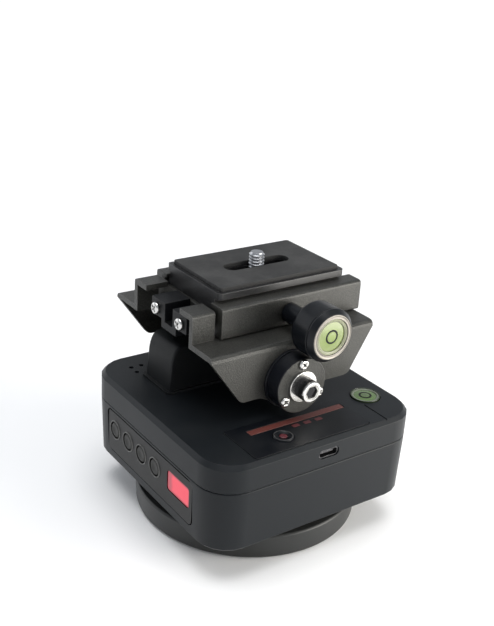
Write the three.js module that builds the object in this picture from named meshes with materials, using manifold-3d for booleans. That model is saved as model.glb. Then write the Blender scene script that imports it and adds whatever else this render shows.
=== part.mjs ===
// Remote pan tilt head: a round base disc, a square motor housing that turns on it, a tower
// with a cross shaft, and a tilting sheet cradle that carries a dovetail quick release clamp.
// Millimetres, +Z up. The origin is on the pan axis, on the surface that the base stands on.
// -Y is the front, with the buttons; +X is the side with the charging socket and the knob.
import * as THREE from 'three';
import { mergeVertices } from 'three/addons/utils/BufferGeometryUtils.js';
import Module from 'manifold-3d';

const wasm = await Module();
wasm.setup();

// Clearances and common values
const runningGap = 0.3;
const slideGap = 0.2;
const cutOverrun = 1;
const hiddenFacets = 8;
const screwFacets = 8;
const smallFacets = 14;
const roundFacets = 20;
const wideFacets = 36;

// Base disc, on the pan axis
const discRadius = 46;
const discFootRadius = 45.4;
const discTop = 10.7;
const discUnderside = 0.4;
const discEdge = 0.7;
const turnBossRadius = 38;
const turnGap = 0.3;
const shoulderRadius = 12;
const hubRadius = 10;
const hubTop = 30;
const cableBore = 5.3;
const padOuterRadius = 42;
const padInnerRadius = 30;
const padThickness = 1.6;
const bushRadius = 7.5;
const bushFlangeRadius = 9.5;
const bushFlange = 1.4;
const bushLength = 9;
const studBore = 4.76;

// Pan bearing, fixed pan gear and hub nut
const bearingWidth = 5;
const bearingOuterRadius = 19;
const bearingRace = 2.6;
const bearingLedge = 1;
const bearingSeatWall = 2.5;
const raceGrooveDepth = 0.6;
const raceGrooveHalf = 1.2;
const gearToothPitch = 3.1416;
const gearWidth = 4.5;
const gearBacklash = 0.24;
const addendumShare = 0.8;
const dedendumShare = 1.15;
const pressureAngle = Math.PI / 9;
const panGearTeeth = 40;
const panPinionTeeth = 12;
const panGearBossRadius = 12.4;
const panGearBoss = 0.8;
const hubNutRadius = 13;
const hubNutHeight = 4;

// Motor housing
const housingHalfX = 48.6;
const housingHalfY = 47.5;
const housingCorner = 13.5;
const housingWall = 2.2;
const housingFloor = 14.2;
const partingDrop = 11;
const housingTop = 50.2;
const housingDraft = 0.8;
const housingFootEdge = 1.2;
const housingTopEdge = 1.6;
const partingGroove = 0.35;
const pillarRadius = 2.8;
const pillarInsetX = 9.1;
const pillarInsetY = 8.3;
const caseScrewRadius = 1.2;
const caseScrewHeadRadius = 2.3;
const caseScrewHead = 1.3;
const caseScrewReach = 9;

// Front panel with four buttons and a window
const panelInsetLeft = 16.2;
const panelInsetRight = 16.6;
const panelInsetBottom = 5;
const panelInsetTop = 1.5;
const panelCorner = 2.6;
const panelThickness = 1.2;
const panelSink = 1;
const panelGroove = 0.45;
const panelBacking = 2.2;
const panelBackingMargin = 1.2;
const buttonRadiusShare = 0.3302;
const buttonFlangeLip = 1.1;
const buttonFlange = 0.8;
const buttonProud = 0.7;
const buttonTravel = 0.5;
const buttonHeightShare = 0.56757;
const firstButtonInset = 5.7;
const buttonPitchShare = 0.1646;
const buttonCount = 4;
const buttonDish = 0.5;
const buttonRim = 0.8;
const buttonEdge = 0.3;
const windowInset = 2.05;
const windowWidthShare = 0.2407;
const windowHeightShare = 0.45946;
const windowCorner = 1.4;
const windowProud = 0.3;
const switchSize = 6;
const switchDepth = 2;
const boardThickness = 1.6;
const buttonBoardMargin = 7;
const boardStandRadius = 1.8;
const boardStandDrop = 5;

// Control label, light bar and power button, on the top
const labelInset = 2.2;
const labelWidth = 21.5;
const labelInsetFront = 17.3;
const labelInsetRear = 24.7;
const labelCorner = 1.6;
const labelThickness = 0.7;
const labelProud = 0.2;
const barInset = 4.1;
const barWidth = 3;
const barInsetFront = 7.7;
const barInsetRear = 1.2;
const powerInsetX = 8;
const powerPlaceShare = 0.26526;
const powerRadius = 3.9;
const powerProud = 0.5;
const powerEdge = 0.4;
const powerTravel = 0.3;
const powerFlangeRadius = 4.9;
const powerFlange = 0.8;
const powerLensRadius = 1.5;
const powerLensDepth = 0.8;

// Bubble level, seam, sound holes and charging socket
const levelInsetX = 20.1;
const levelInsetY = 11.9;
const levelRadius = 6;
const levelDepth = 4.6;
const levelRim = 1;
const levelRimProud = 0.5;
const levelDomeSink = 0.25;
const levelCupWall = 1.4;
const seamLength = 14.6;
const seamInset = 17.5;
const seamWidth = 0.5;
const seamDepth = 0.5;
const soundHoleRadius = 1;
const soundHoleInsetX = 11.2;
const soundHoleInsetY = 13.3;
const soundHolePitch = 4.6;
const socketY = 1.4;
const socketDrop = 5.6;
const socketWidth = 8.94;
const socketThickness = 3.26;
const socketLength = 7.4;
const socketSink = 0.5;
const socketWall = 0.35;
const socketDepth = 6;
const socketTongue = 0.7;
const socketTongueWidth = 6;
const socketTongueLength = 5;

// Boards and battery cells
const mainBoardInset = 3.6;
const mainBoardWidthShare = 0.5967;
const mainBoardInsetFront = 15.5;
const mainBoardInsetRear = 25.5;
const boardPostInset = 4;
const boardPostRadius = 2.4;
const chipSize = 9;
const chipHeight = 1.4;
const cellRadiusShare = 0.22152;
const cellLength = 50;
const cellSideGap = 1.8;
const cellTipRadius = 2.6;
const cellTip = 1;
const holderWall = 1.4;

// Gear motors
const motorWidth = 12;
const motorHeight = 10;
const motorHeadroom = 1;
const gearboxLength = 9;
const motorShaftRadius = 1.5;
const pinionGap = 0.5;
const motorRib = 1.5;
const panMotorRib = 20;

// Tilt axis and tower
const tiltAxisY = 1.3;
const tiltAxisRise = 13.55;
const towerPlaceShare = 0.40124;
const towerWidth = 19;
const towerHalfFoot = 33.7;
const towerHalfShoulder = 32.6;
const towerHalfTop = 27.4;
const towerCurl = 1;
const towerShoulderRise = 12.8;
const towerRise = 19.7;
const towerWall = 2;
const towerEdge = 1.2;
const towerFlange = 1;
const towerFlangeLip = 1.2;
const towerFlangeCorner = 2;
const openingInset = 4;
const openingHalf = 12;
const sleeveRadius = 12;
const sleeveLeft = -44;
const sleeveRight = 18;
const tiltBushRadius = 6.4;
const tiltBushLength = 8;
const tiltBushFlangeRadius = 8.4;
const tiltBushFlange = 1.2;
const tiltGearTeeth = 28;
const tiltPinionTeeth = 14;
const tiltGearHubRadius = 7;
const tiltSectorHalfAngle = 0.95;
const tiltGearOffset = 2.25;

// Cradle sheet, measured from the tilt axis in its own group
const shaftRadius = 4;
const cradleLeft = -50;
const cradleRight = 22;
const sheet = 2.2;
const sheetBend = 2.4;
const shelfHeight = 15.65;
const shelfFront = -35.6;
const shelfRear = 40.4;
const shelfCorner = 0.8;
const notchRear = -27.3;
const notchCorner = 1.5;
const cheekFoot = 5.4;
const cheekFootFront = -22;
const cheekFootRear = 29.4;
const cheekCorner = 2;
const lobeRadius = 11.5;
const lobeSweep = 0.61;
const lobeBlend = 3;
const lobeSteps = 8;
const cradleMiddle = -13.5;
const ridgeHalf = 21.7;
const ridgeHeight = 11.2;
const ridgeLip = 9.2;
const ridgeDepth = 9.7;
const ridgeBend = 1.4;
const clipRadius = 6.5;
const clipThickness = 1.2;
const clipGrooveDepth = 0.7;
const clampScrewSpacing = 28;
const clampScrewRadius = 1.4;
const clampScrewHeadRadius = 2.6;
const clampScrewHead = 1.6;
const clampScrewReach = 7;

// Hub drum on the right cheek, with its screws and washer
const drumRadius = 11.2;
const drumFootRadius = 11.9;
const drumFoot = 1;
const drumLength = 7.9;
const drumEdge = 0.4;
const drumScrewCount = 3;
const drumScrewCircle = 9.05;
const drumScrewFirst = 1.6;
const drumScrewHeadRadius = 2.1;
const drumScrewHead = 1.2;
const drumScrewRadius = 0.9;
const drumScrewReach = 9.5;
const washerRadius = 6.2;
const washerThickness = 1;
const axleHeadRadius = 4.3;
const axleHeadLength = 5.2;
const axleScrewRadius = 2.5;
const axleScrewReach = 14;
const axleKeyRadius = 2.7;
const axleKeyDepth = 2.8;
const axleKnurls = 24;
const axleKnurlDepth = 0.25;
const axleEdge = 0.4;

// Front guide: a small channel between two blocks, each with a stop screw
const guideMiddle = -8.7;
const guideHalf = 5.3;
const guideWall = 2.5;
const guideFloor = 1.4;
const guideStep = 2.1;
const guideTop = 9;
const guideBlock = 7.4;
const guideCorner = 0.5;
const stopScrewOffset = 8.65;
const stopScrewHeight = 5.2;
const stopHeadRadius = 2.4;
const stopHead = 1.7;
const stopScrewRadius = 1.4;
const stopScrewReach = 7;

// Clamp, jaw and knob
const clampFront = -24.4;
const clampRear = 40.8;
const clampRight = 0.8;
const clampBase = 8.1;
const jawTop = 12.7;
const jawRight = 10.55;
const jawRear = 42.3;
const jawCorner = 1.6;
const jawGap = 0.3;
const jawStroke = 3;
const fixedJawLeft = -37.5;
const dovetailHalf = 19;
const throatHalf = 16.1;
const dovetailLand = 0.5;
const plateLift = 0.1;
const slabBottom = 13.9;
const slabThickness = 2.6;
const slabEdge = 0.4;
const plateFront = -22.8;
const plateRear = 37.2;
const plateCorner = 2;
const padInset = 1.8;
const padHeight = 2;
const padSink = 0.5;
const padCorner = 1.2;
const slotHalfWidth = 3.6;
const slotHalfLength = 15;
const slotMiddle = 7.2;
const recessHalfWidth = 7.6;
const recessDepth = 3.8;
const cameraScrewRadius = 3.1;
const cameraScrewHeadRadius = 7;
const cameraScrewHead = 2.4;
const cameraScrewProud = 4.6;
const cameraScrewEdge = 0.6;
const carrierRadius = 7.2;
const carrierThickness = 0.8;
const coinSlotWidth = 1.4;
const coinSlotDepth = 1;
const guidePinRadius = 1.4;
const guidePinReach = 12;
const guidePinHeight = 4;
const guidePinFront = -17;
const guidePinRear = 30;
const knobAxisHeight = 5.7;
const knobAxisY = 6.7;
const knobNeckRadius = 4;
const knobBodyX = 24.3;
const knobBarrel = 10.7;
const knobRadius = 10.5;
const knobFaceRadius = 8.7;
const knobFaceLip = 2;
const knobBackEdge = 2;
const knobBackSteps = 3;
const knobGrooveInset = 1;
const knobGrooveHalf = 0.2;
const knobGrooveDepth = 0.3;
const knobScrewRadius = 1.6;
const knobScrewReach = 20;
const knobScrewGrip = 8;
const vialRadius = 6.2;
const vialDepth = 4;
const vialEdge = 0.5;
const vialSink = 0.4;

// Cross recess of a screw head, as shares of the head's radius and height
const crossArmShare = 0.62;
const crossWidthShare = 0.3;
const crossDepthShare = 0.55;
const headCrownShare = 0.72;

const materials = {
  base: paint(0x141416, 0.5, 0.2),
  housing: paint(0x17181a, 0.55, 0),
  panel: paint(0x1d1e20, 0.45, 0),
  label: paint(0x121315, 0.5, 0),
  red: paint(0xff5a73, 0.25, 0),
  bar: paint(0x8f4a46, 0.5, 0),
  anodised: paint(0x232427, 0.42, 0.8),
  nickel: paint(0xc9c8c4, 0.25, 1),
  steel: paint(0x8d9096, 0.35, 1),
  brass: paint(0xb8924a, 0.35, 1),
  rubber: paint(0x101010, 0.85, 0),
  bubble: paint(0x9fcf6a, 0.2, 0),
  knobBubble: paint(0xd6e27a, 0.2, 0),
  board: paint(0x1f5a33, 0.6, 0),
  cell: paint(0x3a5f8c, 0.5, 0),
  gear: paint(0xe4e2da, 0.5, 0),
};

function paint(color, roughness, metalness) {
  return new THREE.MeshStandardMaterial({ color, roughness, metalness });
}

// Turns a closed geometry into a solid, with its faces pointing outwards
function solidOf(source) {
  const plain = source.clone();
  plain.deleteAttribute('normal');
  plain.deleteAttribute('uv');
  const merged = mergeVertices(plain);
  const position = merged.attributes.position.array;
  const index = merged.index.array;
  const corners = [];
  for (let i = 0; i < index.length; i += 3) {
    const [a, b, c] = [index[i], index[i + 1], index[i + 2]];
    if (a !== b && b !== c && c !== a) corners.push(a, b, c);
  }
  const solid = (order) => new wasm.Manifold(new wasm.Mesh({
    numProp: 3,
    vertProperties: new Float32Array(position),
    triVerts: new Uint32Array(order),
  }));
  const made = solid(corners);
  return made.volume() > 0 ? made : solid(corners.reverse());
}

function geometryOf(solid) {
  const { vertProperties, triVerts } = solid.getMesh();
  const geometry = new THREE.BufferGeometry();
  geometry.setAttribute('position', new THREE.BufferAttribute(vertProperties, 3));
  geometry.setIndex(new THREE.BufferAttribute(triVerts, 1));
  geometry.computeVertexNormals();
  return geometry;
}

function addPart(parent, name, solid, material, x = 0, y = 0, z = 0) {
  const mesh = new THREE.Mesh(geometryOf(solid), material);
  mesh.name = name;
  mesh.position.set(x, y, z);
  parent.add(mesh);
  return mesh;
}

// A box given by its spans
function block(spanX, spanY, spanZ) {
  const spans = [spanX, spanY, spanZ];
  const [width, depth, height] = spans.map(([low, high]) => high - low);
  const [x, y, z] = spans.map(([low, high]) => (low + high) / 2);
  return solidOf(new THREE.BoxGeometry(width, depth, height).translate(x, y, z));
}

// Axes of a local frame whose third axis is the direction of extrusion or of turning
const upright = new THREE.Matrix4();
const alongX = new THREE.Matrix4().makeBasis(
  new THREE.Vector3(0, 1, 0), new THREE.Vector3(0, 0, 1), new THREE.Vector3(1, 0, 0));
const alongFront = new THREE.Matrix4().makeBasis(
  new THREE.Vector3(1, 0, 0), new THREE.Vector3(0, 0, 1), new THREE.Vector3(0, -1, 0));
const downwards = new THREE.Matrix4().makeBasis(
  new THREE.Vector3(1, 0, 0), new THREE.Vector3(0, -1, 0), new THREE.Vector3(0, 0, -1));

function shapeOf(points) {
  return new THREE.Shape(points.map(([x, y]) => new THREE.Vector2(x, y)));
}

// Extrudes an outline from one level to another, along the third axis of a frame
function prism(shape, from, to, frame = upright, curveSegments = 4) {
  const geometry = new THREE.ExtrudeGeometry(shape, {
    depth: to - from, bevelEnabled: false, curveSegments,
  });
  return solidOf(geometry.translate(0, 0, from).applyMatrix4(frame));
}

// Turns a profile of [radius, height] points about the third axis of a frame
function turned(profile, facets, frame = upright) {
  const points = profile.map(([radius, height]) => new THREE.Vector2(radius, height));
  const geometry = new THREE.LatheGeometry(points, facets).rotateX(Math.PI / 2);
  return solidOf(geometry.applyMatrix4(frame));
}

function cylinder(radius, from, to, facets, frame = upright) {
  return turned([[0, from], [radius, from], [radius, to], [0, to]], facets, frame);
}

function ring(innerRadius, outerRadius, from, to, facets, frame = upright) {
  const profile = [
    [innerRadius, from], [outerRadius, from], [outerRadius, to], [innerRadius, to],
    [innerRadius, from],
  ];
  return turned(profile, facets, frame);
}

function roundedRectangle(left, right, bottom, top, corner) {
  const shape = new THREE.Shape();
  shape.moveTo(right - corner, bottom);
  shape.absarc(right - corner, bottom + corner, corner, -Math.PI / 2, 0);
  shape.absarc(right - corner, top - corner, corner, 0, Math.PI / 2);
  shape.absarc(left + corner, top - corner, corner, Math.PI / 2, Math.PI);
  shape.absarc(left + corner, bottom + corner, corner, Math.PI, Math.PI * 3 / 2);
  return shape;
}

// A box with rounded upright corners whose inset changes from level to level
function lofted(levels, cornerSteps = 5) {
  const rings = levels.map(([height, inset]) => {
    const points = [];
    const quarters = [[1, 1], [-1, 1], [-1, -1], [1, -1]];
    quarters.forEach(([signX, signY], quarter) => {
      const radius = housingCorner - inset;
      const centreX = signX * (housingHalfX - housingCorner);
      const centreY = signY * (housingHalfY - housingCorner);
      for (let step = 0; step <= cornerSteps; step += 1) {
        const angle = (quarter + step / cornerSteps) * Math.PI / 2;
        points.push([
          centreX + radius * Math.cos(angle), centreY + radius * Math.sin(angle), height,
        ]);
      }
    });
    return points;
  });
  return solidOf(skin(rings));
}

// Closes a stack of rings, each with as many points, by walls and two fan caps
function skin(rings) {
  const count = rings[0].length;
  const middle = (points) => [0, 1, 2].map(
    (axis) => points.reduce((sum, point) => sum + point[axis], 0) / count);
  const vertices = [...rings.flat(), middle(rings[0]), middle(rings.at(-1))];
  const corners = [];
  const lowest = rings.length * count;
  const last = (rings.length - 1) * count;
  for (let i = 0; i < count; i += 1) {
    const next = (i + 1) % count;
    for (let level = 0; level < rings.length - 1; level += 1) {
      const low = level * count;
      const high = low + count;
      corners.push(low + i, low + next, high + next, low + i, high + next, high + i);
    }
    corners.push(lowest, next, i, lowest + 1, last + i, last + next);
  }
  const geometry = new THREE.BufferGeometry();
  geometry.setAttribute('position', new THREE.Float32BufferAttribute(vertices.flat(), 3));
  geometry.setIndex(corners);
  return geometry;
}

// A pan head screw that points down its frame's third axis, with a cross recess on top
function crossScrew(headRadius, headHeight, shankRadius, reach, frame) {
  const crownRadius = headRadius * headCrownShare;
  const crownFoot = headHeight / 2;
  const body = turned([
    [0, -reach], [shankRadius, -reach], [shankRadius, 0], [headRadius, 0],
    [headRadius, crownFoot], [crownRadius, headHeight], [0, headHeight],
  ], screwFacets, frame);
  const arm = headRadius * crossArmShare;
  const half = headRadius * crossWidthShare / 2;
  const outline = shapeOf([
    [arm, -half], [arm, half], [half, half], [half, arm], [-half, arm], [-half, half],
    [-arm, half], [-arm, -half], [-half, -half], [-half, -arm], [half, -arm], [half, -half],
  ]);
  const floor = headHeight * (1 - crossDepthShare);
  return body.subtract(prism(outline, floor, headHeight + cutOverrun, frame));
}

const gearModule = gearToothPitch / Math.PI;

// An involute spur gear outline with one tooth centred at toothAngle
function gearShape(teeth, toothAngle) {
  const pitchRadius = gearModule * teeth / 2;
  const baseRadius = pitchRadius * Math.cos(pressureAngle);
  const tipRadius = pitchRadius + gearModule * addendumShare;
  const rootRadius = pitchRadius - gearModule * dedendumShare;
  const involute = (radius) => {
    const angle = Math.acos(Math.min(1, baseRadius / radius));
    return Math.tan(angle) - angle;
  };
  const halfTooth = (Math.PI * gearModule / 2 - gearBacklash) / 2 / pitchRadius;
  const flankSteps = 1;
  const start = Math.max(rootRadius, baseRadius);
  const flank = [[rootRadius, halfTooth + involute(pitchRadius) - involute(start)]];
  for (let step = 0; step <= flankSteps; step += 1) {
    const radius = start + (tipRadius - start) * step / flankSteps;
    flank.push([radius, halfTooth + involute(pitchRadius) - involute(radius)]);
  }
  const points = [];
  for (let tooth = 0; tooth < teeth; tooth += 1) {
    const centre = toothAngle + tooth * 2 * Math.PI / teeth;
    const rising = flank.map(([radius, angle]) => [radius, centre - angle]);
    const falling = flank.map(([radius, angle]) => [radius, centre + angle]).reverse();
    points.push(...rising, ...falling);
  }
  return shapeOf(points.map(
    ([radius, angle]) => [radius * Math.cos(angle), radius * Math.sin(angle)]));
}

// A knurled outline: a circle with straight V grooves
function knurlShape(radius, count, depth) {
  const points = [];
  for (let i = 0; i < count * 2; i += 1) {
    const angle = i * Math.PI / count;
    const reach = i % 2 ? radius - depth : radius;
    points.push([reach * Math.cos(angle), reach * Math.sin(angle)]);
  }
  return shapeOf(points);
}

// A closed outline whose corners are softened by the cut given as their third number
function softShape(points) {
  const shape = new THREE.Shape();
  const towards = ([x, y, cut], [endX, endY]) => {
    const share = cut / Math.hypot(endX - x, endY - y);
    return [x + (endX - x) * share, y + (endY - y) * share];
  };
  points.forEach((point, i) => {
    const [x, y, cut] = point;
    const start = cut ? towards(point, points.at(i - 1)) : [x, y];
    if (i) shape.lineTo(...start);
    else shape.moveTo(...start);
    if (cut) shape.quadraticCurveTo(x, y, ...towards(point, points[(i + 1) % points.length]));
  });
  return shape;
}

// Extrudes a front view outline, drawn in X and Z, from the front to the rear
function section(shape, front, rear, curveSegments = 3) {
  return prism(shape, -rear, -front, alongFront, curveSegments);
}

function polygonShape(radius, sides) {
  const points = [];
  for (let i = 0; i < sides; i += 1) {
    const angle = i * 2 * Math.PI / sides;
    points.push([radius * Math.cos(angle), radius * Math.sin(angle)]);
  }
  return shapeOf(points);
}

const moved = (solid, x, y, z) => solid.translate([x, y, z]);

// Base body: disc with its hub, rubber ring, bush, pan gear, inner race and nut

const bossTop = housingFloor - turnGap;
const raceBottom = housingFloor + bearingLedge;
const raceTop = raceBottom + bearingWidth;
const panGearBottom = raceTop + panGearBoss;
const panGearTop = panGearBottom + gearWidth;
const ringTop = padThickness;

function baseDisc() {
  const flangeTop = discUnderside + bushFlange;
  const bushTop = discUnderside + bushLength + runningGap;
  const flangePocket = bushFlangeRadius + runningGap;
  const profile = [
    [flangePocket, discUnderside], [padInnerRadius, discUnderside],
    [padInnerRadius, ringTop], [padOuterRadius, ringTop], [padOuterRadius, discUnderside],
    [discFootRadius - discEdge, discUnderside], [discFootRadius, discUnderside + discEdge],
    [discRadius, discTop - discEdge], [discRadius - discEdge, discTop],
    [turnBossRadius, discTop], [turnBossRadius, bossTop],
    [shoulderRadius, bossTop], [shoulderRadius, raceBottom],
    [hubRadius, raceBottom], [hubRadius, hubTop], [cableBore, hubTop],
    [cableBore, bushTop], [bushRadius + runningGap, bushTop],
    [bushRadius + runningGap, flangeTop], [flangePocket, flangeTop],
    [flangePocket, discUnderside],
  ];
  return turned(profile, wideFacets);
}

function standBush() {
  const flangeTop = discUnderside + bushFlange;
  const top = discUnderside + bushLength;
  return turned([
    [studBore, discUnderside], [bushFlangeRadius, discUnderside],
    [bushFlangeRadius, flangeTop], [bushRadius, flangeTop], [bushRadius, top],
    [studBore, top], [studBore, discUnderside],
  ], screwFacets);
}

// A bearing race with the ball groove on its inner or outer side
function race(innerRadius, outerRadius, grooveOutside) {
  const middle = (raceBottom + raceTop) / 2;
  const low = middle - raceGrooveHalf;
  const high = middle + raceGrooveHalf;
  const outer = grooveOutside
    ? [[outerRadius, low], [outerRadius - raceGrooveDepth, middle], [outerRadius, high]]
    : [];
  const inner = grooveOutside
    ? []
    : [[innerRadius, high], [innerRadius + raceGrooveDepth, middle], [innerRadius, low]];
  return turned([
    [innerRadius, raceBottom], [outerRadius, raceBottom], ...outer, [outerRadius, raceTop],
    [innerRadius, raceTop], ...inner, [innerRadius, raceBottom],
  ], smallFacets);
}

function panGear() {
  const bore = cylinder(
    hubRadius + runningGap, raceTop - cutOverrun, panGearTop + cutOverrun, smallFacets);
  return prism(gearShape(panGearTeeth, Math.PI / 2), panGearBottom, panGearTop)
    .add(cylinder(panGearBossRadius, raceTop, panGearTop, smallFacets))
    .subtract(bore);
}

function hubNut() {
  const top = panGearTop + hubNutHeight;
  return prism(polygonShape(hubNutRadius, 6), panGearTop, top)
    .subtract(cylinder(hubRadius + runningGap, panGearTop - cutOverrun, top + cutOverrun,
      smallFacets));
}

function buildBase() {
  const base = new THREE.Group();
  addPart(base, 'base_disc', baseDisc(), materials.base);
  addPart(base, 'rubber_ring', ring(
    padInnerRadius + runningGap, padOuterRadius - runningGap, 0, ringTop, wideFacets),
  materials.rubber);
  addPart(base, 'stand_bush', standBush(), materials.brass);
  const hubClear = hubRadius + runningGap;
  addPart(base, 'bearing_inner', race(hubClear, hubClear + bearingRace, true), materials.steel);
  addPart(base, 'pan_gear', panGear(), materials.gear);
  addPart(base, 'hub_nut', hubNut(), materials.steel);
  return base;
}

// Housing shells

const housingParting = housingTop - partingDrop;
const draftAt = (z) => housingDraft * (housingParting - z)
  / (housingParting - housingFloor);
const floorTop = housingFloor + housingWall;
const ceiling = housingTop - housingWall;
const panelLeft = panelInsetLeft - housingHalfX;
const panelRight = housingHalfX - panelInsetRight;
const panelWidth = panelRight - panelLeft;
const panelBottom = housingFloor + panelInsetBottom;
const panelTop = housingParting - panelInsetTop;
const panelHeight = panelTop - panelBottom;
const buttonHeight = panelBottom + panelHeight * buttonHeightShare;
const windowHeight = panelHeight * windowHeightShare;
const socketHeight = housingTop - socketDrop;
const cellRadius = (ceiling - floorTop) * cellRadiusShare;
const tiltAxisZ = housingTop + tiltAxisRise;
const towerShoulder = housingTop + towerShoulderRise;
const towerTop = housingTop + towerRise;
const buttonPitch = panelWidth * buttonPitchShare;
const buttonRadius = buttonPitch * buttonRadiusShare;
const buttonFlangeRadius = buttonRadius + buttonFlangeLip;
const firstButtonX = panelLeft + firstButtonInset;
const windowWidth = panelWidth * windowWidthShare;
const windowX = panelRight - windowInset - windowWidth / 2;
const labelRight = housingHalfX - labelInset;
const labelLeft = labelRight - labelWidth;
const labelFront = labelInsetFront - housingHalfY;
const labelRear = housingHalfY - labelInsetRear;
const barLeft = labelLeft + barInset;
const barRight = barLeft + barWidth;
const barFront = labelFront + barInsetFront;
const barRear = labelRear - barInsetRear;
const powerX = labelRight - powerInsetX;
const powerY = -housingHalfY * powerPlaceShare;
const levelX = housingHalfX - levelInsetX;
const levelY = housingHalfY - levelInsetY;
const seamX = housingHalfX - seamLength;
const seamY = housingHalfY - seamInset;
const soundHoleX = soundHoleInsetX - housingHalfX;
const soundHoleY = soundHoleInsetY - housingHalfY;
const mainBoardRight = housingHalfX - mainBoardInset;
const mainBoardLeft = mainBoardRight - housingHalfX * mainBoardWidthShare;
const mainBoardFront = mainBoardInsetFront - housingHalfY;
const mainBoardRear = housingHalfY - mainBoardInsetRear;
const cellX = housingWall + cellSideGap + cellRadius - housingHalfX;
const towerMiddle = -housingHalfX * towerPlaceShare;
const towerLeft = towerMiddle - towerWidth / 2;
const towerRight = towerMiddle + towerWidth / 2;
const tiltGearX = towerMiddle - tiltGearOffset;
const panelFace = panelSink - housingHalfY;
const panelBack = panelFace + panelThickness;
const backingBack = panelBack + panelBacking;
const pillarX = housingHalfX - pillarInsetX;
const pillarY = housingHalfY - pillarInsetY;
const corners = [[1, 1], [-1, 1], [-1, -1], [1, -1]];
const buttonsX = Array.from({ length: buttonCount }, (_, i) => firstButtonX + i * buttonPitch);
const switchFace = backingBack + slideGap + buttonFlange + buttonTravel + slideGap;
const buttonBoardFront = switchFace + switchDepth;
const cellLowZ = floorTop + runningGap + cellRadius;
const cellHighZ = cellLowZ + 2 * cellRadius + runningGap;
const cellHalf = cellLength / 2;
const panMotorY = gearModule * (panGearTeeth + panPinionTeeth) / 2;
const panMotorZ = panGearTop + pinionGap;
const motorLength = ceiling - motorHeadroom - panMotorZ - gearboxLength;
const tiltMotorX = tiltGearX + gearWidth + pinionGap;
const tiltMotorZ = tiltAxisZ - gearModule * (tiltGearTeeth + tiltPinionTeeth) / 2;

function bearingSeat() {
  const pocket = bearingOuterRadius + runningGap;
  const ledge = bearingOuterRadius - bearingRace + runningGap;
  const wall = cylinder(pocket + bearingSeatWall, housingFloor, raceTop, smallFacets);
  const hole = turned([
    [0, housingFloor - cutOverrun], [ledge, housingFloor - cutOverrun], [ledge, raceBottom],
    [pocket, raceBottom], [pocket, raceTop + cutOverrun], [0, raceTop + cutOverrun],
  ], smallFacets);
  return { wall, hole };
}

// The wall behind the front panel, and the stands of the button board
function panelWall() {
  const backing = block(
    [panelLeft - panelBackingMargin, panelRight + panelBackingMargin],
    [panelBack - runningGap, backingBack],
    [panelBottom - panelBackingMargin, panelTop + panelBackingMargin]);
  const stand = cylinder(
    boardStandRadius, -buttonBoardFront, -panelBack, hiddenFacets, alongFront);
  const placesX = [firstButtonX + buttonPitch / 2, windowX];
  return placesX.reduce(
    (wall, x) => wall.add(moved(stand, x, 0, buttonHeight - boardStandDrop)), backing);
}

function panelPocket() {
  const outline = roundedRectangle(
    panelLeft - panelGroove, panelRight + panelGroove,
    panelBottom - panelGroove, panelTop + panelGroove, panelCorner + panelGroove);
  const pocket = section(outline, -housingHalfY - cutOverrun, panelBack);
  const hole = cylinder(
    buttonRadius + runningGap, -backingBack - cutOverrun, -panelFace, smallFacets, alongFront);
  return buttonsX.reduce((cut, x) => cut.add(moved(hole, x, 0, buttonHeight)), pocket);
}

function cellHolder() {
  const outside = housingWall - housingHalfX;
  const inside = cellX + cellRadius + slideGap;
  const near = cellHalf + cellTip + runningGap;
  const wall = (front, rear) => block(
    [outside, inside], [front, rear], [housingFloor + housingFootEdge, housingParting]);
  return wall(near, near + holderWall).add(wall(-near - holderWall, -near));
}

function lowerShell() {
  const foot = housingFloor + housingFootEdge;
  const outer = lofted([
    [housingFloor, housingDraft + housingFootEdge], [foot, draftAt(foot)],
    [housingParting - partingGroove, draftAt(housingParting - partingGroove)],
    [housingParting, partingGroove],
  ]);
  const inner = lofted([
    [floorTop, housingDraft + housingWall], [housingParting + cutOverrun, housingWall],
  ]);
  const seat = bearingSeat();
  const screwHole = turned([
    [0, housingFloor - cutOverrun], [caseScrewHeadRadius + runningGap, housingFloor - cutOverrun],
    [caseScrewHeadRadius + runningGap, housingFloor + caseScrewHead],
    [caseScrewRadius + runningGap, housingFloor + caseScrewHead],
    [caseScrewRadius + runningGap, floorTop + cutOverrun], [0, floorTop + cutOverrun],
  ], hiddenFacets);
  const shell = outer.subtract(inner).add(seat.wall).add(panelWall()).add(cellHolder())
    .subtract(seat.hole).subtract(panelPocket());
  return corners.reduce(
    (solid, [x, y]) => solid.subtract(moved(screwHole, x * pillarX, y * pillarY, 0)), shell);
}

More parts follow.
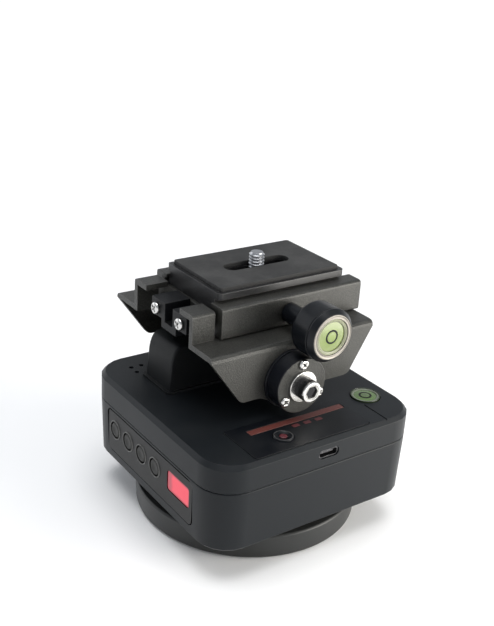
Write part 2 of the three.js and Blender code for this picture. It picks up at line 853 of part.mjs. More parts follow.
// What stands under the top: pillars, posts, motor ribs and the level's cup
function upperSupports() {
  const pillar = cylinder(pillarRadius, floorTop, housingTop - housingWall / 2, hiddenFacets);
  const screwHole = cylinder(
    caseScrewRadius + runningGap, floorTop - cutOverrun, floorTop + caseScrewReach, hiddenFacets);
  const hollowPillar = pillar.subtract(screwHole);
  const post = cylinder(
    boardPostRadius, mainBoardTop, housingTop - housingWall / 2, hiddenFacets);
  const boardX = [mainBoardLeft + boardPostInset, mainBoardRight - boardPostInset];
  const boardY = [mainBoardFront + boardPostInset, mainBoardRear - boardPostInset];
  const top = housingTop - housingWall / 2;
  const ribNear = motorWidth / 2 + runningGap;
  const ribFar = ribNear + motorRib;
  const panRib = block(
    [ribNear, ribFar], [panMotorY - motorHeight / 2, panMotorY + motorHeight / 2],
    [ceiling - panMotorRib, top]);
  const tiltRib = block(
    [tiltMotorX + gearboxLength / 2, tiltMotorX + gearboxLength + motorLength],
    [tiltAxisY + ribNear, tiltAxisY + ribFar], [tiltMotorZ - motorHeight / 2, top]);
  const cup = cylinder(
    levelRadius + runningGap + levelCupWall, housingTop - levelDepth - levelCupWall, top,
    smallFacets);
  const supports = [
    ...corners.map(([x, y]) => moved(hollowPillar, x * pillarX, y * pillarY, 0)),
    ...boardX.flatMap((x) => boardY.map((y) => moved(post, x, y, 0))),
    panRib, panRib.mirror([1, 0, 0]),
    tiltRib, moved(tiltRib, 0, -ribNear - ribFar, 0),
    moved(cup, levelX, levelY, 0),
  ];
  return supports.reduce((all, support) => all.add(support));
}

function socketOutline(clearance) {
  const halfWidth = socketWidth / 2 + clearance;
  const halfHeight = socketThickness / 2 + clearance;
  return roundedRectangle(
    socketY - halfWidth, socketY + halfWidth,
    socketHeight - halfHeight, socketHeight + halfHeight, halfHeight - slideGap);
}

function upperShell() {
  const outer = lofted([
    [housingParting, partingGroove], [housingParting + partingGroove, 0],
    [housingTop - housingTopEdge, 0], [housingTop, housingTopEdge],
  ]);
  const inner = lofted([[housingParting - cutOverrun, housingWall], [ceiling, housingWall]]);
  const above = housingTop + cutOverrun;
  const labelPocket = prism(
    roundedRectangle(
      labelLeft - slideGap, labelRight + slideGap, labelFront - slideGap, labelRear + slideGap,
      labelCorner),
    housingTop - labelThickness + labelProud, above);
  const soundHole = cylinder(soundHoleRadius, ceiling - cutOverrun, above, screwFacets);
  const soundPlaces = [[0, 0], [0, soundHolePitch], [soundHolePitch, 0]];
  const cuts = [
    labelPocket,
    moved(cylinder(powerRadius + slideGap, ceiling - cutOverrun, above, smallFacets),
      powerX, powerY, 0),
    moved(cylinder(levelRadius + runningGap, housingTop - levelDepth, above, roundFacets),
      levelX, levelY, 0),
    block([seamX, housingHalfX + cutOverrun], [seamY, seamY + seamWidth],
      [housingTop - seamDepth, above]),
    block([towerLeft + openingInset, towerRight - openingInset],
      [tiltAxisY - openingHalf, tiltAxisY + openingHalf], [ceiling - cutOverrun, above]),
    prism(socketOutline(slideGap), housingHalfX - housingWall - cutOverrun,
      housingHalfX + cutOverrun, alongX),
    ...soundPlaces.map(([x, y]) => moved(soundHole, soundHoleX + x, soundHoleY + y, 0)),
  ];
  return cuts.reduce(
    (shell, cut) => shell.subtract(cut), outer.subtract(inner).add(upperSupports()));
}

// Front panel, buttons and window

function frontPanel() {
  const outline = roundedRectangle(panelLeft, panelRight, panelBottom, panelTop, panelCorner);
  const plate = section(outline, panelFace, panelBack);
  const hole = cylinder(
    buttonRadius + runningGap, -panelBack - cutOverrun, -panelFace + cutOverrun, smallFacets,
    alongFront);
  const glass = section(windowOutline(slideGap), panelFace - cutOverrun, panelBack + cutOverrun);
  return buttonsX.reduce(
    (solid, x) => solid.subtract(moved(hole, x, 0, buttonHeight)), plate.subtract(glass));
}

function windowOutline(clearance) {
  const halfWidth = windowWidth / 2 + clearance;
  const halfHeight = windowHeight / 2 + clearance;
  return roundedRectangle(
    windowX - halfWidth, windowX + halfWidth,
    buttonHeight - halfHeight, buttonHeight + halfHeight, windowCorner);
}

// A push button on its own axis: heights run outwards from the panel's face
function pushButton() {
  const flangeFront = panelFace - backingBack - slideGap;
  return turned([
    [0, flangeFront - buttonFlange], [buttonFlangeRadius, flangeFront - buttonFlange],
    [buttonFlangeRadius, flangeFront], [buttonRadius, flangeFront],
    [buttonRadius, buttonProud - buttonEdge], [buttonRadius - buttonEdge, buttonProud],
    [buttonRadius - buttonRim, buttonProud], [buttonRadius - buttonRim, buttonProud - buttonDish],
    [0, buttonProud - buttonDish],
  ], smallFacets, alongFront);
}

function buttonBoard() {
  const half = switchSize / 2;
  const board = block(
    [firstButtonX - buttonBoardMargin, windowX + buttonBoardMargin],
    [buttonBoardFront, buttonBoardFront + boardThickness],
    [buttonHeight - buttonBoardMargin, buttonHeight + buttonBoardMargin]);
  const key = block([-half, half], [switchFace, buttonBoardFront + boardThickness / 2],
    [buttonHeight - half, buttonHeight + half]);
  return buttonsX.reduce((solid, x) => solid.add(moved(key, x, 0, 0)), board);
}

// Label panel, light bar and power button

const labelTop = housingTop + labelProud;
const labelBottom = labelTop - labelThickness;

function labelPanel() {
  const plate = prism(
    roundedRectangle(labelLeft, labelRight, labelFront, labelRear, labelCorner),
    labelBottom, labelTop);
  const slot = block(
    [barLeft - slideGap, barRight + slideGap], [barFront - slideGap, barRear + slideGap],
    [labelBottom - cutOverrun, labelTop + cutOverrun]);
  const hole = cylinder(
    powerRadius + slideGap, labelBottom - cutOverrun, labelTop + cutOverrun, smallFacets);
  return plate.subtract(slot).subtract(moved(hole, powerX, powerY, 0));
}

const powerTop = labelTop + powerProud;
const powerFoot = ceiling - slideGap - powerFlange;

function powerButton() {
  const button = turned([
    [0, powerFoot], [powerFlangeRadius, powerFoot],
    [powerFlangeRadius, powerFoot + powerFlange], [powerRadius, powerFoot + powerFlange],
    [powerRadius, powerTop - powerEdge], [powerRadius - powerEdge, powerTop], [0, powerTop],
  ], smallFacets);
  return button.subtract(cylinder(
    powerLensRadius + runningGap, powerTop - powerLensDepth, powerTop + cutOverrun,
    screwFacets));
}

// Bubble level and socket

function levelVial() {
  const top = housingTop + levelRimProud;
  return turned([
    [0, housingTop - levelDepth], [levelRadius, housingTop - levelDepth],
    [levelRadius, top], [levelRadius - levelRim, top],
    [levelRadius - levelRim, top - levelRimProud - levelDomeSink],
    [0, top - levelRimProud],
  ], roundFacets);
}

function chargeSocket() {
  const front = housingHalfX - socketSink;
  const back = front - socketLength;
  const shell = prism(socketOutline(0), back, front, alongX);
  const mouth = prism(socketOutline(-socketWall), front - socketDepth, front + cutOverrun, alongX);
  const tongue = block(
    [back + socketWall, front - socketDepth + socketTongueLength],
    [socketY - socketTongueWidth / 2, socketY + socketTongueWidth / 2],
    [socketHeight - socketTongue / 2, socketHeight + socketTongue / 2]);
  return shell.subtract(mouth).add(tongue);
}

// Boards, cells and gear motors

const mainBoardTop = socketHeight - socketThickness / 2;

function mainBoard() {
  const board = block(
    [mainBoardLeft, mainBoardRight], [mainBoardFront, mainBoardRear],
    [mainBoardTop - boardThickness, mainBoardTop]);
  const chipX = (mainBoardLeft + mainBoardRight) / 2;
  const chip = block(
    [chipX - chipSize / 2, chipX + chipSize / 2], [-chipSize / 2, chipSize / 2],
    [mainBoardTop - boardThickness / 2, mainBoardTop + chipHeight]);
  const half = switchSize / 2;
  const powerSwitch = block(
    [powerX - half, powerX + half], [powerY - half, powerY + half],
    [mainBoardTop - boardThickness / 2, powerFoot - powerTravel - slideGap]);
  return board.add(chip).add(powerSwitch);
}

function batteryCell() {
  return turned([
    [0, -cellHalf], [cellRadius, -cellHalf], [cellRadius, cellHalf],
    [cellTipRadius, cellHalf], [cellTipRadius, cellHalf + cellTip], [0, cellHalf + cellTip],
  ], screwFacets, alongFront);
}

// A gear motor whose shaft points down its axis, from the gearbox face at height zero
function gearMotor(frame) {
  const halfWidth = motorWidth / 2;
  const halfHeight = motorHeight / 2;
  const face = roundedRectangle(-halfWidth, halfWidth, -halfHeight, halfHeight, slideGap);
  const gearbox = prism(face, 0, gearboxLength, frame);
  const full = gearboxLength + motorLength;
  const can = cylinder(halfWidth, gearboxLength / 2, full, screwFacets, frame)
    .intersect(prism(face, 0, full, frame));
  const shaft = cylinder(
    motorShaftRadius, -gearWidth - 2 * pinionGap, gearboxLength / 2, hiddenFacets, frame);
  return gearbox.add(can).add(shaft);
}

function pinion(teeth, toothAngle, frame) {
  const bore = cylinder(
    motorShaftRadius + runningGap, -cutOverrun, gearWidth + cutOverrun, hiddenFacets, frame);
  return prism(gearShape(teeth, toothAngle), 0, gearWidth, frame).subtract(bore);
}

// Tilt tower with its two shaft sleeves

function towerOutline(inset) {
  const foot = towerHalfFoot - inset;
  const shoulder = towerHalfShoulder - inset;
  const top = towerTop - inset;
  const below = housingTop - towerEdge - cutOverrun;
  const shape = new THREE.Shape();
  shape.moveTo(-foot, below);
  shape.lineTo(foot, below);
  shape.lineTo(foot, housingTop);
  shape.lineTo(shoulder, towerShoulder);
  shape.quadraticCurveTo(shoulder - towerCurl, top, towerHalfTop - inset, top);
  shape.lineTo(inset - towerHalfTop, top);
  shape.quadraticCurveTo(towerCurl - shoulder, top, -shoulder, towerShoulder);
  shape.lineTo(-foot, housingTop);
  return shape;
}

function tiltTower() {
  const shell = solidOf(new THREE.ExtrudeGeometry(towerOutline(0), {
    depth: towerRight - towerLeft - 2 * towerEdge,
    bevelThickness: towerEdge,
    bevelSize: towerEdge,
    bevelOffset: -towerEdge,
    bevelSegments: 2,
    curveSegments: 6,
  }).translate(0, 0, towerLeft + towerEdge).applyMatrix4(alongX));
  const flange = prism(
    roundedRectangle(
      towerLeft - towerFlangeLip, towerRight + towerFlangeLip,
      -towerHalfFoot - towerFlangeLip, towerHalfFoot + towerFlangeLip, towerFlangeCorner),
    housingTop, housingTop + towerFlange);
  const axial = (radius, from, to, facets = roundFacets) => moved(
    cylinder(radius, from, to, facets, alongX), 0, 0, tiltAxisZ);
  const below = block(
    [sleeveLeft, sleeveRight], [-housingHalfY, housingHalfY], [0, housingTop]);
  const insideLeft = towerLeft + towerWall;
  const insideRight = towerRight - towerWall;
  const pocket = tiltBushRadius + runningGap;
  return shell.add(axial(sleeveRadius, sleeveLeft, sleeveRight)).add(flange)
    .subtract(prism(towerOutline(towerWall), insideLeft, insideRight, alongX))
    .subtract(axial(sleeveRadius - towerWall, insideLeft, insideRight))
    .subtract(axial(shaftRadius + runningGap, sleeveLeft - cutOverrun, sleeveRight + cutOverrun))
    .subtract(axial(pocket, sleeveLeft - cutOverrun, sleeveLeft + tiltBushLength))
    .subtract(axial(pocket, sleeveRight - tiltBushLength, sleeveRight + cutOverrun))
    .subtract(below);
}

// A flanged bush that points down its axis from the sleeve's end at zero
function tiltBush(outwards) {
  const bore = shaftRadius + runningGap;
  const flangeEnd = outwards * tiltBushFlange;
  const barrelEnd = -outwards * (tiltBushLength - runningGap);
  return turned([
    [bore, barrelEnd], [tiltBushRadius, barrelEnd], [tiltBushRadius, 0],
    [tiltBushFlangeRadius, 0], [tiltBushFlangeRadius, flangeEnd], [bore, flangeEnd],
    [bore, barrelEnd],
  ], screwFacets, alongX);
}

function tiltPinionPhase() {
  return Math.PI / 2 + Math.PI / tiltPinionTeeth;
}

function panPinionPhase() {
  return -Math.PI / 2 + Math.PI / panPinionTeeth;
}

function buildHead() {
  const head = new THREE.Group();
  addPart(head, 'lower_shell', lowerShell(), materials.housing);
  addPart(head, 'upper_shell', upperShell(), materials.housing);
  addPart(head, 'front_panel', frontPanel(), materials.panel);
  addPart(head, 'display_window',
    section(windowOutline(0), panelFace - windowProud, panelBack), materials.red);
  buttonsX.forEach((x, i) => addPart(
    head, `button_${i + 1}`, pushButton(), materials.panel, x, panelFace, buttonHeight));
  addPart(head, 'label_panel', labelPanel(), materials.label);
  addPart(head, 'light_bar',
    block([barLeft, barRight], [barFront, barRear], [labelBottom, labelTop]), materials.bar);
  addPart(head, 'power_button', powerButton(), materials.panel, powerX, powerY);
  addPart(head, 'power_lens', cylinder(
    powerLensRadius, powerTop - powerLensDepth, powerTop, screwFacets),
  materials.red, powerX, powerY);
  addPart(head, 'level_vial', levelVial(), materials.bubble, levelX, levelY);
  addPart(head, 'charge_socket', chargeSocket(), materials.steel);
  addPart(head, 'main_board', mainBoard(), materials.board);
  addPart(head, 'button_board', buttonBoard(), materials.board);
  addPart(head, 'cell_lower', batteryCell(), materials.cell, cellX, 0, cellLowZ);
  addPart(head, 'cell_upper', batteryCell(), materials.cell, cellX, 0, cellHighZ);
  addPart(head, 'bearing_outer', race(
    bearingOuterRadius - bearingRace, bearingOuterRadius, false), materials.steel);
  addPart(head, 'pan_motor', gearMotor(upright), materials.steel, 0, panMotorY, panMotorZ);
  addPart(head, 'pan_pinion', pinion(panPinionTeeth, panPinionPhase(), upright),
    materials.brass, 0, panMotorY, panGearBottom);
  addPart(head, 'tilt_motor', gearMotor(alongX), materials.steel,
    tiltMotorX, tiltAxisY, tiltMotorZ);
  addPart(head, 'tilt_pinion', pinion(tiltPinionTeeth, tiltPinionPhase(), alongX),
    materials.brass, tiltGearX, tiltAxisY, tiltMotorZ);
  corners.forEach(([x, y], i) => addPart(
    head, `case_screw_${i + 1}`, crossScrew(
      caseScrewHeadRadius, caseScrewHead, caseScrewRadius,
      housingWall - caseScrewHead + caseScrewReach - runningGap, downwards),
    materials.steel, x * pillarX, y * pillarY, housingFloor + caseScrewHead));
  addPart(head, 'tilt_tower', tiltTower(), materials.housing, 0, tiltAxisY);
  addPart(head, 'tilt_bush_left', tiltBush(-1), materials.brass,
    sleeveLeft, tiltAxisY, tiltAxisZ);
  addPart(head, 'tilt_bush_right', tiltBush(1), materials.brass,
    sleeveRight, tiltAxisY, tiltAxisZ);
  return head;
}

// Cradle, in its own group whose origin is on the tilt axis

const shelfUnderside = shelfHeight - sheet;
const ridgeWallX = cradleMiddle + ridgeHalf;

function cheekOutline() {
  const sine = Math.sin(lobeSweep);
  const cosine = Math.cos(lobeSweep);
  const meetX = lobeRadius * sine + (lobeRadius * cosine - cheekFoot) * cosine / sine;
  const lobe = [];
  for (let step = 0; step <= lobeSteps; step += 1) {
    const angle = lobeSweep * (2 * step / lobeSteps - 1);
    lobe.push([lobeRadius * Math.sin(angle), -lobeRadius * Math.cos(angle)]);
  }
  return softShape([
    [shelfFront, shelfHeight], [shelfFront, shelfUnderside],
    [cheekFootFront, -cheekFoot, cheekCorner], [-meetX, -cheekFoot, lobeBlend], ...lobe,
    [meetX, -cheekFoot, lobeBlend], [cheekFootRear, -cheekFoot, cheekCorner],
    [shelfRear, shelfUnderside], [shelfRear, shelfHeight],
  ]);
}

function bentSheet() {
  const low = -lobeRadius - cutOverrun;
  const bendInside = sheetBend - sheet;
  return section(softShape([
    [cradleLeft, low], [cradleLeft + sheet, low],
    [cradleLeft + sheet, shelfUnderside, bendInside],
    [cradleRight - sheet, shelfUnderside, bendInside], [cradleRight - sheet, low],
    [cradleRight, low], [cradleRight, shelfHeight, sheetBend],
    [cradleLeft, shelfHeight, sheetBend],
  ]), shelfFront, shelfRear);
}

// One of the two folded ridges that stand on the shelf's front edge
function ridge(side) {
  const outer = cradleMiddle + side * ridgeHalf;
  const inner = outer - side * sheet;
  const lip = outer - side * ridgeLip;
  const top = shelfHeight + ridgeHeight;
  return section(softShape([
    [outer, shelfUnderside], [outer, top, ridgeBend], [lip, top], [lip, top - sheet],
    [inner, top - sheet], [inner, shelfUnderside],
  ]), shelfFront, shelfFront + ridgeDepth);
}

function drumScrewPlaces() {
  return Array.from({ length: drumScrewCount }, (_, i) => {
    const angle = drumScrewFirst + i * 2 * Math.PI / drumScrewCount;
    return [drumScrewCircle * Math.cos(angle), drumScrewCircle * Math.sin(angle)];
  });
}

const clampScrewsY = [-clampScrewSpacing / 2, clampScrewSpacing / 2];

function cradleSheet() {
  const body = bentSheet().intersect(
    prism(cheekOutline(), cradleLeft - cutOverrun, cradleRight + cutOverrun, alongX));
  const notchHalf = ridgeHalf - sheet;
  const notch = prism(softShape([
    [cradleMiddle - notchHalf, shelfFront - cutOverrun],
    [cradleMiddle + notchHalf, shelfFront - cutOverrun],
    [cradleMiddle + notchHalf, notchRear, notchCorner],
    [cradleMiddle - notchHalf, notchRear, notchCorner],
  ]), shelfUnderside - cutOverrun, shelfHeight + cutOverrun);
  const shaftHole = cylinder(
    shaftRadius + runningGap, cradleLeft - cutOverrun, cradleRight + cutOverrun, smallFacets,
    alongX);
  const drumHole = cylinder(
    drumScrewRadius + runningGap, cradleRight - sheet - cutOverrun, cradleRight + cutOverrun,
    screwFacets, alongX);
  const clampHole = cylinder(
    clampScrewRadius + runningGap, shelfUnderside - cutOverrun, shelfHeight + cutOverrun,
    screwFacets);
  const cuts = [
    shaftHole,
    ...drumScrewPlaces().map(([y, z]) => moved(drumHole, 0, y, z)),
    ...clampScrewsY.map((y) => moved(clampHole, cradleMiddle, y, 0)),
  ];
  const folded = body.subtract(notch).add(ridge(1)).add(ridge(-1));
  return cuts.reduce((solid, cut) => solid.subtract(cut), folded);
}

const shaftEnd = cradleRight + drumLength - washerRadius / 2;

function tiltShaft() {
  const clipMiddle = cradleLeft + sheet + slideGap + clipThickness / 2;
  const grooveHalf = clipThickness / 2 + slideGap;
  const body = turned([
    [0, cradleLeft], [shaftRadius, cradleLeft], [shaftRadius, clipMiddle - grooveHalf],
    [shaftRadius - clipGrooveDepth, clipMiddle - grooveHalf],
    [shaftRadius - clipGrooveDepth, clipMiddle + grooveHalf],
    [shaftRadius, clipMiddle + grooveHalf], [shaftRadius, shaftEnd], [0, shaftEnd],
  ], screwFacets, alongX);
  const reach = cradleRight + drumLength + washerThickness - axleScrewReach - runningGap;
  return body.subtract(cylinder(
    axleScrewRadius + runningGap, reach, shaftEnd + cutOverrun, hiddenFacets, alongX));
}

function shaftClip() {
  const left = cradleLeft + sheet + slideGap;
  const grip = shaftRadius - clipGrooveDepth + runningGap;
  const slot = block(
    [left - cutOverrun, left + clipThickness + cutOverrun], [-grip, grip],
    [-clipRadius - cutOverrun, 0]);
  return ring(grip, clipRadius, left, left + clipThickness, screwFacets, alongX).subtract(slot);
}

function tiltGear() {
  const right = tiltGearX + gearWidth;
  const reach = tiltGearTeeth * gearModule;
  const wedge = prism(shapeOf([
    [0, 0], [-reach * Math.sin(tiltSectorHalfAngle), -reach * Math.cos(tiltSectorHalfAngle)],
    [0, -reach / Math.cos(tiltSectorHalfAngle)],
    [reach * Math.sin(tiltSectorHalfAngle), -reach * Math.cos(tiltSectorHalfAngle)],
  ]), tiltGearX - cutOverrun, right + cutOverrun, alongX);
  return prism(gearShape(tiltGearTeeth, -Math.PI / 2), tiltGearX, right, alongX)
    .intersect(wedge)
    .add(cylinder(tiltGearHubRadius, tiltGearX, right, screwFacets, alongX))
    .subtract(cylinder(
      shaftRadius + runningGap, tiltGearX - cutOverrun, right + cutOverrun, screwFacets,
      alongX));
}

// The drum on its own axis: heights run outwards from the cheek's face
function tiltDrum() {
  const shaftClear = shaftRadius + runningGap;
  const screwClear = axleScrewRadius + runningGap;
  const shoulder = shaftEnd - cradleRight + runningGap;
  const body = turned([
    [shaftClear, 0], [drumFootRadius, 0], [drumFootRadius, drumFoot], [drumRadius, drumFoot],
    [drumRadius, drumLength - drumEdge], [drumRadius - drumEdge, drumLength],
    [screwClear, drumLength], [screwClear, shoulder], [shaftClear, shoulder], [shaftClear, 0],
  ], roundFacets, alongX);
  const hole = cylinder(
    drumScrewRadius + runningGap, -cutOverrun, drumLength + cutOverrun, screwFacets, alongX);
  return drumScrewPlaces().reduce(
    (solid, [y, z]) => solid.subtract(moved(hole, 0, y, z)), body);
}

function axleScrew() {
  const head = prism(
    knurlShape(axleHeadRadius, axleKnurls, axleKnurlDepth), 0, axleHeadLength - axleEdge,
    alongX);
  const face = axleHeadRadius - axleKnurlDepth;
  const rim = turned([
    [0, 0], [face, 0], [face, axleHeadLength - axleEdge],
    [face - axleEdge, axleHeadLength], [0, axleHeadLength],
  ], smallFacets, alongX);
  const shank = cylinder(axleScrewRadius, -axleScrewReach, axleEdge, screwFacets, alongX);
  const key = prism(polygonShape(axleKeyRadius, 6), axleHeadLength - axleKeyDepth,
    axleHeadLength + cutOverrun, alongX);
  return head.add(rim).add(shank).subtract(key);
}

// Front guide and its stop screws

const clampFloor = shelfHeight;

function frontGuide() {
  const low = clampFloor;
  const step = low + guideStep;
  const top = low + guideTop;
  const wallRight = guideMiddle + guideHalf;
  const wallLeft = guideMiddle - guideHalf;
  const outline = softShape([
    [wallLeft, low], [wallRight, low], [wallRight, step],
    [wallRight + guideBlock, step, guideCorner], [wallRight + guideBlock, top, guideCorner],
    [wallRight - guideWall, top], [wallRight - guideWall, low + guideFloor],
    [wallLeft + guideWall, low + guideFloor], [wallLeft + guideWall, top],
    [wallLeft - guideBlock, top, guideCorner], [wallLeft - guideBlock, step, guideCorner],
    [wallLeft, step],
  ]);
  const body = section(outline, shelfFront, clampFront);
  const tab = block(
    [wallLeft, wallRight], [shelfFront, notchRear - runningGap],
    [low - guideFloor, low + guideFloor / 2]);
  const hole = cylinder(
    stopScrewRadius + runningGap, -shelfFront - stopScrewReach - runningGap,
    -shelfFront + cutOverrun, screwFacets, alongFront);
  return [1, -1].reduce((solid, side) => solid.subtract(
    moved(hole, guideMiddle + side * stopScrewOffset, 0, low + stopScrewHeight)),
  body.add(tab));
}

// Clamp body with the fixed jaw, and the moving jaw

const seat = clampFloor + clampBase;
const dovetailFoot = seat + plateLift;
const bevelTop = dovetailFoot + dovetailLand + dovetailHalf - throatHalf;
const jawPeak = clampFloor + jawTop;
const flangeClear = dovetailHalf + slideGap;
const throatClear = throatHalf + slideGap;
const bevelFootClear = bevelTop - (flangeClear - throatClear);
const knobAxisZ = clampFloor + knobAxisHeight;
const pinZ = clampFloor + guidePinHeight;
const pinsY = [guidePinFront, guidePinRear];

function clampBody() {
  const body = section(softShape([
    [fixedJawLeft, clampFloor], [clampRight, clampFloor], [clampRight, seat],
    [cradleMiddle - flangeClear, seat], [cradleMiddle - flangeClear, bevelFootClear],
    [cradleMiddle - throatClear, bevelTop], [cradleMiddle - throatClear, jawPeak],
    [fixedJawLeft, jawPeak, jawCorner],
  ]), clampFront, clampRear);
  const screwHole = cylinder(
    clampScrewRadius + runningGap, clampFloor - cutOverrun,
    shelfUnderside + clampScrewReach + runningGap, hiddenFacets);
  const bore = (radius, reach) => cylinder(
    radius + runningGap, jawLeft - reach - runningGap, clampRight + cutOverrun, hiddenFacets,
    alongX);
  const cuts = [
    ...clampScrewsY.map((y) => moved(screwHole, cradleMiddle, y, 0)),
    moved(bore(knobScrewRadius, knobScrewReach), 0, knobAxisY, knobAxisZ),
    ...pinsY.map((y) => moved(bore(guidePinRadius, guidePinReach), 0, y, pinZ)),
  ];
  return cuts.reduce((solid, cut) => solid.subtract(cut), body);
}

const jawLeft = clampRight + jawGap;

function movingJaw() {
  const foot = clampFloor + slideGap;
  const body = section(softShape([
    [jawLeft, foot], [jawRight, foot, jawCorner / 2], [jawRight, jawPeak, jawCorner],
    [cradleMiddle + throatClear, jawPeak], [cradleMiddle + throatClear, bevelTop],
    [cradleMiddle + flangeClear, bevelFootClear], [cradleMiddle + flangeClear, seat],
    [jawLeft, seat],
  ]), clampFront, jawRear);
  const pin = cylinder(
    guidePinRadius, jawLeft - guidePinReach, jawRight - jawCorner, hiddenFacets, alongX);
  const bore = cylinder(
    knobScrewRadius + runningGap, jawLeft - cutOverrun, jawRight + cutOverrun, hiddenFacets,
    alongX);
  return pinsY.reduce((solid, y) => solid.add(moved(pin, 0, y, pinZ)), body)
    .subtract(moved(bore, 0, knobAxisY, knobAxisZ));
}

// The knob on its own axis; X runs as in the cradle
function clampKnob() {
  const neckLeft = jawRight + slideGap;
  const barrelRight = knobBodyX + knobBarrel;
  const knobEnd = barrelRight + knobFaceLip;
  const groove = barrelRight - knobGrooveInset;
  const roundedBack = Array.from({ length: knobBackSteps + 1 }, (_, step) => {
    const angle = step / knobBackSteps * Math.PI / 2;
    return [
      knobRadius - knobBackEdge * (1 - Math.sin(angle)),
      knobBodyX + knobBackEdge * (1 - Math.cos(angle)),
    ];
  });
  const body = turned([
    [0, neckLeft], [knobNeckRadius, neckLeft], [knobNeckRadius, knobBodyX], ...roundedBack,
    [knobRadius, groove - knobGrooveHalf], [knobRadius - knobGrooveDepth, groove],
    [knobRadius, groove + knobGrooveHalf], [knobRadius, barrelRight],
    [knobFaceRadius, knobEnd], [0, knobEnd],
  ], roundFacets, alongX);
  const pocket = cylinder(
    vialRadius + runningGap, knobEnd - vialDepth, knobEnd + cutOverrun, roundFacets, alongX);
  const socket = cylinder(
    knobScrewRadius + runningGap, neckLeft - cutOverrun, neckLeft + knobScrewGrip,
    screwFacets, alongX);
  return body.subtract(pocket).subtract(socket);
}

function knobVial() {
  const end = knobBodyX + knobBarrel + knobFaceLip;
  const face = end - vialSink;
  return turned([
    [0, end - vialDepth], [vialRadius, end - vialDepth], [vialRadius, face - vialEdge],
    [vialRadius - vialEdge, face], [0, face],
  ], roundFacets, alongX);
}

// Quick release plate, pad and screw

function quickPlate() {
  const slabTop = clampFloor + slabBottom + slabThickness;
  const slabLow = clampFloor + slabBottom;
  const body = section(softShape([
    [cradleMiddle - dovetailHalf, dovetailFoot], [cradleMiddle + dovetailHalf, dovetailFoot],
    [cradleMiddle + dovetailHalf, dovetailFoot + dovetailLand],
    [cradleMiddle + throatHalf, bevelTop], [cradleMiddle + throatHalf, slabLow],
    [cradleMiddle + dovetailHalf, slabLow], [cradleMiddle + dovetailHalf, slabTop, slabEdge],
    [cradleMiddle - dovetailHalf, slabTop, slabEdge], [cradleMiddle - dovetailHalf, slabLow],
    [cradleMiddle - throatHalf, slabLow], [cradleMiddle - throatHalf, bevelTop],
    [cradleMiddle - dovetailHalf, dovetailFoot + dovetailLand],
  ]), plateFront, plateRear);
  const rounded = prism(roundedRectangle(
    cradleMiddle - dovetailHalf, cradleMiddle + dovetailHalf, plateFront, plateRear,
    plateCorner), dovetailFoot - cutOverrun, slabTop + cutOverrun);
  const cuts = [
    prism(slotOutline(slotHalfWidth), dovetailFoot, slabTop + cutOverrun),
    prism(slotOutline(recessHalfWidth), dovetailFoot - cutOverrun, dovetailFoot + recessDepth),
    prism(padOutline(-slideGap), slabTop - padSink, slabTop + cutOverrun),
  ];
  return cuts.reduce((solid, cut) => solid.subtract(cut), body.intersect(rounded));
}

// A long slot of round ends, along Y
function slotOutline(half) {
  const reach = slotHalfLength - slotHalfWidth + half;
  return roundedRectangle(
    cradleMiddle - half, cradleMiddle + half, slotMiddle - reach, slotMiddle + reach,
    half - slideGap);
}

function padOutline(inset) {
  return roundedRectangle(
    cradleMiddle - dovetailHalf + padInset + inset,
    cradleMiddle + dovetailHalf - padInset - inset,
    plateFront + padInset + inset, plateRear - padInset - inset, padCorner);
}

function platePad() {
  const low = clampFloor + slabBottom + slabThickness - padSink;
  return prism(padOutline(0), low, low + padHeight)
    .subtract(prism(slotOutline(slotHalfWidth), low - cutOverrun, low + padHeight + cutOverrun));
}

const carrierTop = dovetailFoot + recessDepth - plateLift;
const carrierLow = carrierTop - carrierThickness;

// The washer that holds the screw in the plate and slides along the recess
function screwCarrier() {
  return ring(
    cameraScrewRadius + runningGap, carrierRadius, carrierLow, carrierTop, screwFacets);
}

function cameraScrew() {
  const headTop = carrierLow;
  const headLow = headTop - cameraScrewHead;
  const padTop = clampFloor + slabBottom + slabThickness - padSink + padHeight;
  const tip = padTop + cameraScrewProud;
  const half = coinSlotWidth / 2;
  return turned([
    [0, headLow], [cameraScrewHeadRadius, headLow], [cameraScrewHeadRadius, headTop],
    [cameraScrewRadius, headTop], [cameraScrewRadius, tip - cameraScrewEdge],
    [cameraScrewRadius - cameraScrewEdge, tip], [0, tip],
  ], screwFacets).subtract(block(
    [-half, half], [-cameraScrewHeadRadius - cutOverrun, cameraScrewHeadRadius + cutOverrun],
    [headLow - cutOverrun, headLow + coinSlotDepth]));
}

